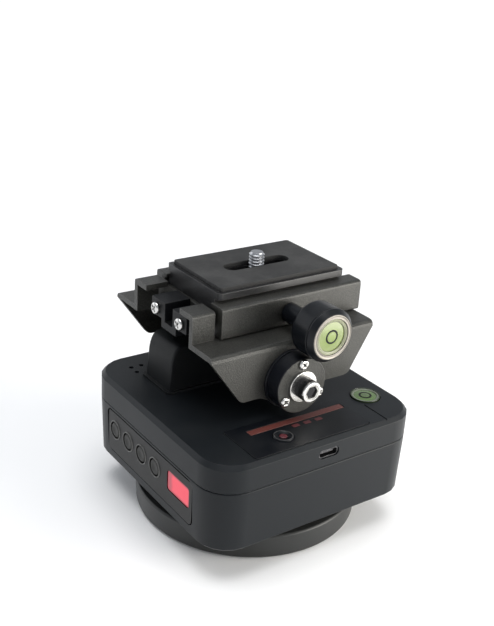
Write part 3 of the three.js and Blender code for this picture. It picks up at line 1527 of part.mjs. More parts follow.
function buildCradle() {
  const cradle = new THREE.Group();
  cradle.position.set(0, tiltAxisY, tiltAxisZ);
  addPart(cradle, 'cradle', cradleSheet(), materials.anodised);
  addPart(cradle, 'tilt_shaft', tiltShaft(), materials.steel);
  addPart(cradle, 'shaft_clip', shaftClip(), materials.steel);
  addPart(cradle, 'tilt_gear', tiltGear(), materials.brass);
  addPart(cradle, 'tilt_drum', tiltDrum(), materials.anodised, cradleRight);
  drumScrewPlaces().forEach(([y, z], i) => addPart(
    cradle, `drum_screw_${i + 1}`, crossScrew(
      drumScrewHeadRadius, drumScrewHead, drumScrewRadius, drumScrewReach, alongX),
    materials.nickel, cradleRight + drumLength, y, z));
  addPart(cradle, 'axle_washer', ring(
    axleScrewRadius + runningGap, washerRadius, 0, washerThickness, smallFacets, alongX),
  materials.nickel, cradleRight + drumLength);
  addPart(cradle, 'axle_screw', axleScrew(), materials.nickel,
    cradleRight + drumLength + washerThickness);
  addPart(cradle, 'front_guide', frontGuide(), materials.anodised);
  [1, -1].forEach((side, i) => addPart(
    cradle, `stop_screw_${i + 1}`, crossScrew(
      stopHeadRadius, stopHead, stopScrewRadius, stopScrewReach, alongFront),
    materials.nickel, guideMiddle + side * stopScrewOffset, shelfFront,
    clampFloor + stopScrewHeight));
  addPart(cradle, 'clamp_body', clampBody(), materials.anodised);
  clampScrewsY.forEach((y, i) => addPart(
    cradle, `clamp_screw_${i + 1}`, crossScrew(
      clampScrewHeadRadius, clampScrewHead, clampScrewRadius, clampScrewReach, downwards),
    materials.steel, cradleMiddle, y, shelfUnderside));
  addPart(cradle, 'moving_jaw', movingJaw(), materials.anodised);
  cradle.add(buildKnob(), buildPlate());
  return cradle;
}

function buildKnob() {
  const knob = new THREE.Group();
  knob.position.set(0, knobAxisY, knobAxisZ);
  addPart(knob, 'clamp_knob', clampKnob(), materials.anodised);
  addPart(knob, 'knob_screw', cylinder(
    knobScrewRadius, jawLeft - knobScrewReach, jawRight + slideGap + knobScrewGrip,
    screwFacets, alongX), materials.steel);
  addPart(knob, 'knob_vial', knobVial(), materials.knobBubble);
  return knob;
}

function buildPlate() {
  const plate = new THREE.Group();
  addPart(plate, 'quick_plate', quickPlate(), materials.anodised);
  addPart(plate, 'plate_pad', platePad(), materials.rubber);
  addPart(plate, 'screw_carrier', screwCarrier(), materials.steel, cradleMiddle, slotMiddle);
  addPart(plate, 'camera_screw', cameraScrew(), materials.steel, cradleMiddle, slotMiddle);
  return plate;
}

const model = new THREE.Group();
model.add(buildBase(), buildHead(), buildCradle());

export default model;
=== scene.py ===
"""Dresses the remote pan tilt head: finishes, fine shapes, a plain studio and the camera."""

import logging
import math
from dataclasses import dataclass
from enum import Enum, IntEnum
from typing import Iterable, Sequence

import bmesh
import bpy
from mathutils import Matrix, Vector


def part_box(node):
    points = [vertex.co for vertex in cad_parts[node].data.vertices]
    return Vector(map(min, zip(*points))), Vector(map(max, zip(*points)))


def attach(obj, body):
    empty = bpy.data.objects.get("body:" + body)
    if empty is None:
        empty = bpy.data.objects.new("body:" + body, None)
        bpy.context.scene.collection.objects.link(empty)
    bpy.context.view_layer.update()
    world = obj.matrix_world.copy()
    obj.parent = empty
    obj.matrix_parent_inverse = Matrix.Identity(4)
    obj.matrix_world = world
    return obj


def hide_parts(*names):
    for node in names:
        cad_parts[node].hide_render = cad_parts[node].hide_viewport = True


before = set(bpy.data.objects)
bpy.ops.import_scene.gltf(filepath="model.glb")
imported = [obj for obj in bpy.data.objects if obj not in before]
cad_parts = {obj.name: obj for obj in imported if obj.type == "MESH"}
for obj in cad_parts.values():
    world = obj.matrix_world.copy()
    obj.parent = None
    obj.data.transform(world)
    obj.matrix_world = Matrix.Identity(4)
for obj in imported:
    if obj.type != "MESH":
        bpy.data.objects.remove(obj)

logging.basicConfig(level=logging.INFO, format="%(message)s")
log = logging.getLogger("pan_tilt_head")

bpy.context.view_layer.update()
MM = 0.001
FULL_TURN = 2 * math.pi

# Millimetres and degrees that all pieces share
SLIVER = 0.04
DOUBLE = 0.003
FLAT_ANGLE = 1.0
EDGE_ANGLE = 32
SHARP_ANGLE = 35
OVERRUN = 1.0

Color = tuple[float, float, float]
Point = tuple[float, float, float]
Profile = Sequence[tuple[float, float]]
Mesh = bmesh.types.BMesh
Node = bpy.types.Node
Socket = bpy.types.NodeSocket


class Body(Enum):
    """The rigid bodies that the new pieces ride on."""

    BASE = "base"
    HEAD = "head"
    POWER = "power"
    CRADLE = "cradle"
    KNOB = "knob"
    CAMERA_SCREW = "camera_screw"
    BUTTON_1 = "button_1"
    BUTTON_2 = "button_2"
    BUTTON_3 = "button_3"
    BUTTON_4 = "button_4"


BUTTONS = (Body.BUTTON_1, Body.BUTTON_2, Body.BUTTON_3, Body.BUTTON_4)


class Steps(IntEnum):
    """The steps in a full turn, by what is turned."""

    DOT = 40
    LINE = 48
    BUTTON = 64
    VIAL = 72
    WASHER = 96
    DRUM = 128
    DISC = 192


class Facing(Enum):
    """Where the axis of a turned piece points; the rows are the local axes in the row frame."""

    UP = ((1, 0, 0), (0, 1, 0), (0, 0, 1))
    RIGHT = ((0, 1, 0), (0, 0, 1), (1, 0, 0))
    FRONT = ((1, 0, 0), (0, 0, 1), (0, -1, 0))

    def matrix(self, *point: float) -> Matrix:
        """The matrix that places a piece's local origin at a point in millimetres."""
        turn = Matrix(self.value).transposed().to_4x4()
        return Matrix.Translation(Vector(point) * MM) @ turn


# Shader helpers and shared node groups


class Graph:
    """Adds nodes to a shader tree and links them."""

    def __init__(self, tree: bpy.types.NodeTree) -> None:
        """Keeps the tree that the nodes go into."""
        self.tree = tree

    def feed(self, node: Node, **inputs: object) -> Node:
        """Sets or links a node's inputs.

        Args:
            node: The node.
            **inputs: Values or output sockets, by socket name with _ for a space; a name such
                as in_1 names a socket by its number.

        Returns:
            The same node.
        """
        for name, value in inputs.items():
            socket = node.inputs[int(name[3:]) if name.startswith("in_") else
                name.replace("_", " ")]
            if isinstance(value, Socket):
                self.tree.links.new(value, socket)
            else:
                socket.default_value = (*value, 1.0) if socket.type == "RGBA" else value
        return node

    def add(self, kind: str, settings: dict | None = None, **inputs: object) -> Node:
        """Adds a node, sets its properties, and feeds its inputs.

        Args:
            kind: The node's type name without the ShaderNode prefix.
            settings: Property values by name.
            **inputs: Its inputs, as in feed.

        Returns:
            The new node.
        """
        node = self.tree.nodes.new(kind if kind.startswith("Node") else f"ShaderNode{kind}")
        for name, value in (settings or {}).items():
            setattr(node, name, value)
        return self.feed(node, **inputs)

    def math(self, operation: str, first: object, second: object) -> Socket:
        """Adds a Math node on two values or output sockets."""
        return self.add("Math", {"operation": operation}, in_0=first, in_1=second).outputs[0]

    def plus(self, first: object, second: object) -> Socket:
        """Adds two values."""
        return self.math("ADD", first, second)

    def times(self, first: object, second: object) -> Socket:
        """Multiplies two values."""
        return self.math("MULTIPLY", first, second)

    def vector(self, operation: str, first: object, second: Socket | Point) -> Socket:
        """Adds a Vector Math node that gives a vector."""
        node = self.add("VectorMath", {"operation": operation}, in_0=first, in_1=second)
        return node.outputs["Vector"]

    def length(self, vector: Socket) -> Socket:
        """Measures a vector."""
        return self.add("VectorMath", {"operation": "LENGTH"}, in_0=vector).outputs["Value"]

    def scaled(self, color: object, share: Socket) -> Socket:
        """Scales a colour by a value."""
        return self.add("VectorMath", {"operation": "SCALE"}, in_0=color, Scale=share).outputs[0]

    def mix(self, share: Socket, first: object, second: object) -> Socket:
        """Mixes two colours by the share of the second."""
        return self.add("Mix", {"data_type": "RGBA"}, in_0=share, in_6=first,
            in_7=second).outputs[2]

    def remap(self, value: Socket, low: float, high: float, to_low: float = 0.0, to_high: float =
            1.0) -> Socket:
        """Maps a value from one range to another, smoothly and clamped."""
        return self.add("MapRange", {"interpolation_type": "SMOOTHSTEP"}, in_0=value, in_1=low,
            in_2=high, in_3=to_low, in_4=to_high).outputs[0]

    def noise(self, place: Socket, scale: object, detail: float, roughness: float = 0.5) -> Socket:
        """Adds a noise texture; detail counts its finer layers, roughness is their strength."""
        return self.add("TexNoise", Vector=place, Scale=scale, Detail=detail,
            Roughness=roughness).outputs[0]

    def place(self, centre: Point | None = None) -> Socket:
        """Reads Object coordinates.

        Args:
            centre: The point in millimetres that they are measured from, where it isn't the
                origin.

        Returns:
            The coordinates in metres.
        """
        place = self.add("TexCoord").outputs["Object"]
        if centre is None:
            return place
        offset = tuple(-value * MM for value in centre)
        return self.add("Mapping", Vector=place, Location=offset).outputs[0]


class SharedGroup(Graph):
    """A shader node group, built once and placed in each material that uses it."""

    name = ""
    inputs: dict[str, str] = {}
    outputs: dict[str, str] = {}

    def __init__(self) -> None:
        """Finds the group's tree, or builds it."""
        found = bpy.data.node_groups.get(self.name)
        super().__init__(found or bpy.data.node_groups.new(self.name, "ShaderNodeTree"))
        if found:
            return
        for direction, sockets in (("INPUT", self.inputs), ("OUTPUT", self.outputs)):
            for label, kind in sockets.items():
                self.tree.interface.new_socket(label, in_out=direction,
                    socket_type=f"NodeSocket{kind}")
        self.given = self.add("NodeGroupInput").outputs
        self.feed(self.add("NodeGroupOutput"), **self.wire())

    def wire(self) -> dict[str, Socket]:
        """Builds the nodes from the given inputs to the outputs, by name."""
        raise NotImplementedError

    def put(self, graph: Graph, **inputs: object) -> bpy.types.NodeOutputs:
        """Adds the group to a material, with a value or a socket for each of its inputs."""
        return graph.feed(graph.add("Group", {"node_tree": self.tree}), **inputs).outputs


class Grain(SharedGroup):
    """A fine even grain, as on moulded plastic and blasted metal."""

    name = "fine_grain"
    inputs = {"Vector": "Vector", "Size": "Float", "Relief": "Float", "Mottle": "Float"}
    outputs = {"Height": "Float", "Shade": "Float"}

    def wire(self) -> dict[str, Socket]:
        """Mixes a fine noise for relief with a broad noise for shade.

        Returns:
            The group's outputs by name.
        """
        scale = self.math("DIVIDE", 1 / MM, self.given["Size"])
        fine = self.noise(self.given["Vector"], scale, 2.0, 0.6)
        broad = self.noise(self.given["Vector"], 70.0, 3.0, 0.6)
        both = self.plus(self.times(fine, 0.75), self.times(broad, 0.25))
        spread = self.math("SUBTRACT", both, 0.5)
        shade = self.plus(1.0, self.times(spread, self.times(self.given["Mottle"], 4.0)))
        return {"Height": self.times(fine, self.given["Relief"]), "Shade": shade}


class EdgeWearAndHighlight(SharedGroup):
    """Lighter colour where an outer edge has been rubbed; the same lighter edge also serves as a
    painted highlight.
    """

    name = "edge_wear_and_highlight"
    inputs = {"Vector": "Vector", "Color": "Color", "Worn Color": "Color", "Amount": "Float",
        "Width": "Float"}
    outputs = {"Color": "Color"}

    def wire(self) -> dict[str, Socket]:
        """Compares the rounded normal with the true one near an edge.

        Returns:
            The group's outputs by name.
        """
        rounded = self.add("Bevel", {"samples": 6}, Radius=self.given["Width"]).outputs[0]
        dot = self.add("VectorMath", {"operation": "DOT_PRODUCT"}, in_0=rounded,
            in_1=self.add("NewGeometry").outputs["Normal"])
        edge = self.remap(dot.outputs["Value"], 0.995, 0.86)
        patchy = self.remap(self.noise(self.given["Vector"], 420.0, 4.0), 0.35, 0.62, 0.25, 1.0)
        # the lighter edge is wear and a painted edge highlight at once
        mask = self.times(self.times(edge, patchy), self.given["Amount"])
        return {"Color": self.mix(mask, self.given["Color"], self.given["Worn Color"])}


class Dust(SharedGroup):
    """A thin uneven film that lies on what faces up, and handling marks all round."""

    name = "dust_film"
    inputs = {"Vector": "Vector", "Color": "Color", "Roughness": "Float", "Amount": "Float"}
    outputs = {"Color": "Color", "Roughness": "Float"}

    def wire(self) -> dict[str, Socket]:
        """Mixes a pale film in by the height of the normal and a noise.

        Returns:
            The group's outputs by name.
        """
        normal = self.add("NewGeometry").outputs["Normal"]
        upward = self.remap(self.add("SeparateXYZ", in_0=normal).outputs["Z"], 0.5, 1.0)
        cloud = self.noise(self.given["Vector"], 55.0, 6.0, 0.7)
        patch = self.remap(cloud, 0.35, 0.75)
        amount = self.times(self.times(upward, patch), self.given["Amount"])
        marks = self.times(self.math("SUBTRACT", cloud, 0.5), 0.12)
        rough = self.plus(self.plus(self.given["Roughness"], marks), self.times(amount, 0.5))
        color = self.mix(amount, self.given["Color"], (0.3, 0.3, 0.29))
        return {"Color": color, "Roughness": rough}


class TurningLines(SharedGroup):
    """Fine rings left by a lathe, round the Z axis of the vector."""

    name = "turning_lines"
    inputs = {"Vector": "Vector", "Pitch": "Float", "Relief": "Float"}
    outputs = {"Height": "Float"}

    def wire(self) -> dict[str, Socket]:
        """Turns the distance from the axis into a fine ripple.

        Returns:
            The group's outputs by name.
        """
        reach = self.length(self.vector("MULTIPLY", self.given["Vector"], (1.0, 1.0, 0.0)))
        turns = self.math("DIVIDE", self.times(reach, 1 / MM), self.given["Pitch"])
        ripple = self.math("SINE", self.times(turns, FULL_TURN), 0.0)
        uneven = self.add("TexNoise", {"noise_dimensions": "1D"}, Scale=1.7, W=turns)
        height = self.plus(self.times(ripple, 0.5), uneven.outputs[0])
        return {"Height": self.times(height, self.given["Relief"])}


def new_material(name: str) -> tuple[bpy.types.Material, Graph, Node]:
    """Makes a material with only an output and a Principled shader.

    Args:
        name: The material's name.

    Returns:
        The material, the helper on its tree, and its shader node.
    """
    material = bpy.data.materials.new(name)
    material.use_nodes = True
    material.node_tree.nodes.clear()
    graph = Graph(material.node_tree)
    shader = graph.add("BsdfPrincipled")
    graph.add("OutputMaterial", Surface=shader.outputs[0])
    return material, graph, shader


@dataclass(frozen=True)
class Finish:
    """A solid finish: colour, gloss, grain, worn edges that are also a painted edge highlight,
    dust and turning lines.

    The grain's size, the width of the worn and painted-highlight edge and the turning lines' pitch
    are in millimetres.
    """

    name: str
    color: Color
    roughness: float
    metallic: float = 0.0
    specular: float = 0.5
    grain: float = 0.35
    relief: float = 0.02
    mottle: float = 0.08
    # the lighter edge colour, its amount and its width: wear, and a painted edge highlight too
    worn_and_highlight: Color = (0.2, 0.2, 0.2)
    wear_and_highlight: float = 0.3
    wear_and_highlight_width: float = 0.35
    dust: float = 0.05
    turning: float = 0.0
    turning_relief: float = 0.0

    def build(self) -> bpy.types.Material:
        """Builds the material, once.

        Returns:
            The finished material.
        """
        found = bpy.data.materials.get(self.name)
        if found:
            return found
        material, graph, shader = new_material(self.name)
        place = graph.place()
        grain = Grain().put(graph, Vector=place, Size=self.grain, Relief=self.relief,
            Mottle=self.mottle)
        # lighter edges: wear and a painted edge highlight
        worn_and_highlight = EdgeWearAndHighlight().put(graph, Vector=place, Color=graph.scaled(self.color, grain["Shade"]),
            Worn_Color=self.worn_and_highlight, Amount=self.wear_and_highlight, Width=self.wear_and_highlight_width * MM)
        dusty = Dust().put(graph, Vector=place, Color=worn_and_highlight["Color"], Roughness=self.roughness,
            Amount=self.dust)
        height = grain["Height"]
        if self.turning:
            lines = TurningLines().put(graph, Vector=place, Pitch=self.turning,
                Relief=self.turning_relief)
            height = graph.plus(height, lines["Height"])
        bump = graph.add("Bump", Height=height, Distance=0.1 * MM, Strength=1.0)
        graph.feed(shader, Base_Color=dusty["Color"], Roughness=dusty["Roughness"],
            Normal=bump.outputs[0], Metallic=self.metallic, Specular_IOR_Level=self.specular)
        return material


@dataclass(frozen=True)
class LitGlass:
    """A window that is lit from behind, frosted along its left side, and duller along its foot
    where a reflection is painted.
    """

    name: str
    color: Color
    frost_and_reflection_color: Color
    edge_color: Color
    glass_color: Color
    centre: Point
    half: tuple[float, float]
    corner: float = 1.4
    rim: tuple[float, float] = (1.2, 0.25)
    strength: float = 0.9
    ragged: float = 0.25

    def build(self) -> bpy.types.Material:
        """Builds the material, with a glow that dulls in the frosted band, in the painted
        reflection along the foot and at the rim.

        Returns:
            The finished material.
        """
        material, graph, shader = new_material(self.name)
        local = graph.place(self.centre)
        split = graph.add("SeparateXYZ", in_0=local)
        across = graph.math("DIVIDE", split.outputs["X"], self.half[0] * MM)
        along = graph.math("DIVIDE", split.outputs["Z"], self.half[1] * MM)
        cloud = graph.noise(graph.place(), 260.0, 3.0)
        ragged = graph.times(graph.math("SUBTRACT", cloud, 0.5), self.ragged)
        left = graph.remap(graph.plus(across, ragged), -0.46, -0.74)
        # the duller band along the foot is a painted reflection
        foot = graph.remap(graph.plus(along, ragged), -0.60, -0.95)
        frost_and_reflection = graph.math("MAXIMUM", left, graph.times(foot, 0.75))
        reach = graph.vector("ABSOLUTE", local, (0.0, 0.0, 0.0))
        flat = tuple((value - self.corner) * MM for value in self.half)
        beyond = graph.vector("SUBTRACT", reach, (flat[0], 1.0, flat[1]))
        away = graph.length(graph.vector("MAXIMUM", beyond, (0.0, 0.0, 0.0)))
        rim = graph.remap(away, *((self.corner - inset) * MM for inset in self.rim))
        glow = graph.mix(frost_and_reflection, self.color, self.frost_and_reflection_color)
        graph.feed(shader, Emission_Color=graph.mix(rim, glow, self.edge_color),
            Base_Color=self.glass_color, Emission_Strength=self.strength, Roughness=0.3,
            Coat_Weight=0.4, Coat_Roughness=0.08)
        return material


@dataclass(frozen=True)
class Liquid:
    """Coloured liquid behind clear plastic, paler towards its rim, with a faint painted glow in
    place of the light through the plastic.
    """

    name: str
    color: Color
    rim_color: Color
    centre: Point
    radius: float
    # the strength of a painted glow; the liquid gives off no light of its own
    glow: float = 0.1

    def build(self) -> bpy.types.Material:
        """Builds the material.

        Returns:
            The finished material.
        """
        material, graph, shader = new_material(self.name)
        reach = graph.length(graph.place(self.centre))
        share = graph.remap(reach, 0.45 * self.radius * MM, self.radius * MM)
        cloud = graph.noise(graph.place(), 160.0, 2.0)
        tone = graph.mix(share, self.color, self.rim_color)
        shade = graph.scaled(tone, graph.plus(0.85, graph.times(cloud, 0.3)))
        # the emission is the painted glow
        graph.feed(shader, Base_Color=shade, Emission_Color=shade, Emission_Strength=self.glow,
            Roughness=0.2, Coat_Weight=0.5, Coat_Roughness=0.04)
        return material


Look = Finish | LitGlass | Liquid

HOUSING = Finish("housing_plastic", (0.0080, 0.0098, 0.0118), 0.40, specular=0.22, grain=0.28,
    relief=0.10, mottle=0.06, worn_and_highlight=(0.07, 0.07, 0.07), wear_and_highlight=0.35, dust=0.012)
# the housing's plastic, painted darker and duller as the shadow on the tower
TOWER_PAINTED_SHADE = Finish("tower_plastic_painted_shade", (0.006, 0.007, 0.008), 0.40, specular=0.14, grain=0.28,
    relief=0.08, mottle=0.05, worn_and_highlight=(0.06, 0.06, 0.06))
PANEL = Finish("panel_plastic", (0.011, 0.011, 0.011), 0.40, specular=0.24, grain=0.22,
    relief=0.10, worn_and_highlight=(0.06, 0.06, 0.06), wear_and_highlight=0.35, wear_and_highlight_width=0.25)
BUTTON = Finish("button_rubber", (0.014, 0.014, 0.012), 0.42, specular=0.26, grain=0.5,
    relief=0.20, mottle=0.5, worn_and_highlight=(0.06, 0.06, 0.06), wear_and_highlight=0.5, wear_and_highlight_width=0.3)
BUTTON_RING = Finish("button_ring_grey", (0.085, 0.085, 0.080), 0.36, relief=0.03,
    worn_and_highlight=(0.1, 0.1, 0.1), wear_and_highlight=0.2)
LABEL = Finish("label_film", (0.003, 0.004, 0.006), 0.36, specular=0.25, grain=0.5, mottle=0.05,
    worn_and_highlight=(0.04, 0.04, 0.04), dust=0.02)
LIGHT_BAR = Finish("light_bar_red", (0.115, 0.030, 0.024), 0.38, grain=0.6, relief=0.03,
    mottle=0.12, worn_and_highlight=(0.2, 0.08, 0.06), wear_and_highlight=0.1)
INDICATOR = Finish("indicator_red", (0.10, 0.02, 0.022), 0.35, grain=0.5, relief=0.03, mottle=0.1,
    worn_and_highlight=(0.2, 0.05, 0.05), wear_and_highlight=0.1)
POWER_DOT = Finish("power_dot_red", (0.085, 0.012, 0.018), 0.45, worn_and_highlight=(0.5, 0.1, 0.1), wear_and_highlight=0.1)
PRINTED_GREY = Finish("printed_grey", (0.045, 0.045, 0.045), 0.45, wear_and_highlight=0.1)
BASE_BLACK = Finish("base_anodised", (0.021, 0.022, 0.0215), 0.36, specular=0.4, grain=0.25,
    relief=0.06, worn_and_highlight=(0.16, 0.16, 0.16), turning=0.5, turning_relief=0.05)
ANODISED = Finish("blasted_anodised", (0.0265, 0.0265, 0.0232), 0.42, metallic=0.2, specular=0.6,
    grain=0.5, relief=1.3, mottle=1.2, worn_and_highlight=(0.26, 0.25, 0.24), wear_and_highlight=0.45, wear_and_highlight_width=0.3,
    dust=0.04)
# a darker, duller anodised finish: painted shadow on the front guide
GUIDE_PAINTED_SHADE = Finish("guide_anodised_painted_shade", (0.005, 0.0055, 0.0065), 0.38, specular=0.14, grain=0.22,
    relief=0.2, mottle=0.2, worn_and_highlight=(0.2, 0.2, 0.19), wear_and_highlight=0.45, wear_and_highlight_width=0.25, dust=0.04)
PLATE = Finish("plate_anodised", (0.012, 0.012, 0.013), 0.36, metallic=0.2, specular=0.6,
    grain=0.22, relief=0.15, mottle=0.15, worn_and_highlight=(0.25, 0.25, 0.24), wear_and_highlight=0.5, wear_and_highlight_width=0.3)
# the drum's side: the face's anodised metal, painted darker as shade
DRUM_SIDE_PAINTED_SHADE = Finish("drum_side_painted_shade", (0.005, 0.006, 0.009), 0.34, specular=0.3, grain=0.3,
    relief=0.08, worn_and_highlight=(0.12, 0.12, 0.12), wear_and_highlight_width=0.25)
KNOB_BLACK = Finish("knob_black", (0.004, 0.005, 0.007), 0.30, specular=0.25, grain=0.2,
    relief=0.03, worn_and_highlight=(0.06, 0.06, 0.06), wear_and_highlight_width=0.25)
KNOB_RING = Finish("knob_ring_bare", (0.25, 0.232, 0.208), 0.36, metallic=0.8, relief=0.05,
    mottle=0.12, worn_and_highlight=(0.75, 0.74, 0.7), wear_and_highlight=0.5, dust=0.02)
RUBBER = Finish("black_rubber", (0.016, 0.016, 0.016), 0.75, grain=0.5, relief=0.4,
    worn_and_highlight=(0.06, 0.06, 0.06), wear_and_highlight=0.2, dust=0.12)
NICKEL = Finish("bright_nickel", (0.66, 0.655, 0.64), 0.20, metallic=1.0, grain=0.6, relief=0.05,
    mottle=0.10, worn_and_highlight=(0.9, 0.9, 0.88), wear_and_highlight=0.4, wear_and_highlight_width=0.2, dust=0.02)
WASHER = Finish("washer_nickel", (0.86, 0.85, 0.83), 0.26, metallic=1.0, grain=0.4, relief=0.12,
    mottle=0.15, worn_and_highlight=(0.8, 0.8, 0.78), wear_and_highlight=0.4, wear_and_highlight_width=0.2, dust=0.02)
STEEL = Finish("machined_steel", (0.42, 0.43, 0.45), 0.32, metallic=1.0, grain=0.5, relief=0.1,
    mottle=0.12, worn_and_highlight=(0.7, 0.7, 0.7), wear_and_highlight=0.4)
SHAFT_STEEL = Finish("shaft_steel", (0.20, 0.20, 0.205), 0.34, metallic=1.0, grain=0.5, relief=0.1,
    wear_and_highlight=0.2)
SCREW_BLACK = Finish("screw_blacked", (0.016, 0.016, 0.018), 0.17, metallic=0.6, relief=0.06,
    mottle=0.2, worn_and_highlight=(0.35, 0.35, 0.34), wear_and_highlight=0.5, wear_and_highlight_width=0.12)
# a dark finish that paints the shade down in the screws' cross recesses
PAINTED_RECESS_SHADE = Finish("recess_painted_shade", (0.02, 0.02, 0.02), 0.5, relief=0.1, wear_and_highlight=0.0)
SOCKET = Finish("socket_steel", (0.10, 0.10, 0.105), 0.3, metallic=0.9, relief=0.05, mottle=0.1,
    worn_and_highlight=(0.6, 0.6, 0.6), wear_and_highlight=0.7, wear_and_highlight_width=0.15)
SOCKET_GREY = Finish("key_socket_grey", (0.40, 0.40, 0.385), 0.36, metallic=0.9, relief=0.08,
    mottle=0.2, worn_and_highlight=(0.6, 0.6, 0.6), wear_and_highlight=0.5, wear_and_highlight_width=0.12)
BRASS = Finish("turned_brass", (0.60, 0.42, 0.16), 0.3, metallic=1.0, relief=0.08, mottle=0.1,
    worn_and_highlight=(0.8, 0.62, 0.3), wear_and_highlight=0.4)
GEAR = Finish("gear_nylon", (0.66, 0.64, 0.58), 0.5, relief=0.08, worn_and_highlight=(0.8, 0.78, 0.74), wear_and_highlight=0.2)
BOARD = Finish("board_mask", (0.02, 0.12, 0.05), 0.4, grain=0.8, relief=0.05, mottle=0.25,
    worn_and_highlight=(0.1, 0.3, 0.15))
CELL = Finish("cell_sleeve", (0.05, 0.12, 0.25), 0.4, relief=0.05, worn_and_highlight=(0.2, 0.3, 0.4), wear_and_highlight=0.2)
VIAL_LINE = Finish("vial_black_line", (0.006, 0.008, 0.005), 0.5, specular=0.15, wear_and_highlight=0.0)
VIAL_DARK = Finish("vial_plastic_dark", (0.02, 0.03, 0.014), 0.25, worn_and_highlight=(0.10, 0.12, 0.08),
    wear_and_highlight=0.2)
VIAL_GREEN = Finish("vial_plastic_green", (0.14, 0.16, 0.12), 0.30, worn_and_highlight=(0.3, 0.35, 0.2),
    wear_and_highlight=0.2)
VIAL_PALE = Finish("vial_plastic_pale", (0.25, 0.26, 0.17), 0.22, worn_and_highlight=(0.6, 0.63, 0.45))
KNOB_BUBBLE = Finish("vial_bubble", (0.21, 0.28, 0.075), 0.12, wear_and_highlight=0.0)
LEVEL_BUBBLE = Finish("level_bubble", (0.10, 0.145, 0.065), 0.12, wear_and_highlight=0.0)


# Mesh helpers


def turned(profile: Profile, steps: int) -> Mesh:
    """Spins a profile a full turn about local Z.

    Args:
        profile: Points as radius and height in millimetres; where the first is off the axis, the
            last joins it, as in a ring's section.
        steps: The number of steps in a turn.

    Returns:
        The mesh, in metres.
    """
    mesh = bmesh.new()
    verts = [mesh.verts.new((radius * MM, 0.0, height * MM)) for radius, height in profile]
    pairs = list(zip(verts, verts[1:])) + ([(verts[-1], verts[0])] if profile[0][0] else [])
    edges = [mesh.edges.new(pair) for pair in pairs]
    bmesh.ops.spin(mesh, geom=verts + edges, cent=(0, 0, 0), axis=(0, 0, 1), dvec=(0, 0, 0),
        angle=FULL_TURN, steps=steps, use_merge=True, use_duplicate=False)
    bmesh.ops.remove_doubles(mesh, verts=mesh.verts, dist=0.002 * MM)
    bmesh.ops.recalc_face_normals(mesh, faces=mesh.faces)
    return mesh


def slab(outline: Iterable[tuple[float, float]], low: float, high: float) -> Mesh:
    """Extrudes an outline along local Z.

    Args:
        outline: Points as local X and Y in millimetres, in order.
        low: The lower height in millimetres.
        high: The upper height in millimetres.

    Returns:
        The mesh, in metres.
    """
    mesh = bmesh.new()
    face = mesh.faces.new([mesh.verts.new((x * MM, y * MM, low * MM)) for x, y in outline])
    made = bmesh.ops.extrude_face_region(mesh, geom=[face])
    moved = [item for item in made["geom"] if isinstance(item, bmesh.types.BMVert)]
    bmesh.ops.translate(mesh, vec=(0, 0, (high - low) * MM), verts=moved)
    bmesh.ops.recalc_face_normals(mesh, faces=mesh.faces)
    return mesh


def quarter_turn(steps: int) -> list[tuple[float, float]]:
    """The sine and cosine at even steps over a quarter turn."""
    angles = [step / steps * math.pi / 2 for step in range(steps + 1)]
    return [(math.sin(angle), math.cos(angle)) for angle in angles]


def rounded_outline(width: float, height: float, corner: float, steps: int =
        8) -> list[tuple[float, float]]:
    """The outline of a rectangle with round corners, about its middle.

    Args:
        width: The size along local X in millimetres.
        height: The size along local Y in millimetres.
        corner: The corner's radius in millimetres.
        steps: The number of steps in each corner.

    Returns:
        The outline's points.
    """
    points = []
    for quarter, (sign_x, sign_y) in enumerate(((1, 1), (-1, 1), (-1, -1), (1, -1))):
        for step in range(steps + 1):
            angle = (quarter + step / steps) * math.pi / 2
            points.append((sign_x * (width / 2 - corner) + corner * math.cos(angle),
                sign_y * (height / 2 - corner) + corner * math.sin(angle)))
    return points


def toothed_outline(radius: float, count: int, depth: float) -> list[tuple[float, float]]:
    """A circle with fine straight grooves, as a knurl is seen from its end.

    Args:
        radius: The outer radius in millimetres.
        count: The number of grooves.
        depth: The grooves' depth in millimetres.

    Returns:
        The outline's points.
    """
    shares = (0.0, 0.15, 0.85, 1.0, 0.85, 0.15)
    total = count * len(shares)
    points = []
    for index in range(total):
        angle = index * FULL_TURN / total
        reach = radius - depth * shares[index % len(shares)]
        points.append((reach * math.cos(angle), reach * math.sin(angle)))
    return points


def linked(name: str, mesh: Mesh) -> bpy.types.Object:
    """Makes a mesh into an object of the scene.

    Args:
        name: The name of the object and its data.
        mesh: The mesh, which is freed.

    Returns:
        The new object.
    """
    data = bpy.data.meshes.new(name)
    mesh.to_mesh(data)
    mesh.free()
    made = bpy.data.objects.new(name, data)
    bpy.context.scene.collection.objects.link(made)
    return made


def carved(body: Mesh, cutter: Mesh) -> Mesh:
    """Cuts one mesh out of another.

    Args:
        body: The mesh that is kept.
        cutter: The mesh that is taken away.

    Returns:
        The cut mesh. Both inputs are freed.
    """
    parts = [linked("carving", mesh) for mesh in (body, cutter)]
    cut = parts[0].modifiers.new("cut", "BOOLEAN")
    cut.operation = "DIFFERENCE"
    cut.solver = "EXACT"
    cut.object = parts[1]
    bpy.context.view_layer.update()
    made = parts[0].evaluated_get(bpy.context.evaluated_depsgraph_get())
    result = bmesh.new()
    result.from_mesh(made.to_mesh())
    for part in parts:
        data = part.data
        bpy.data.objects.remove(part)
        bpy.data.meshes.remove(data)
    bmesh.ops.remove_doubles(result, verts=result.verts, dist=0.001 * MM)
    bmesh.ops.dissolve_limit(result, angle_limit=math.radians(0.5), verts=result.verts,
        edges=result.edges)
    return result


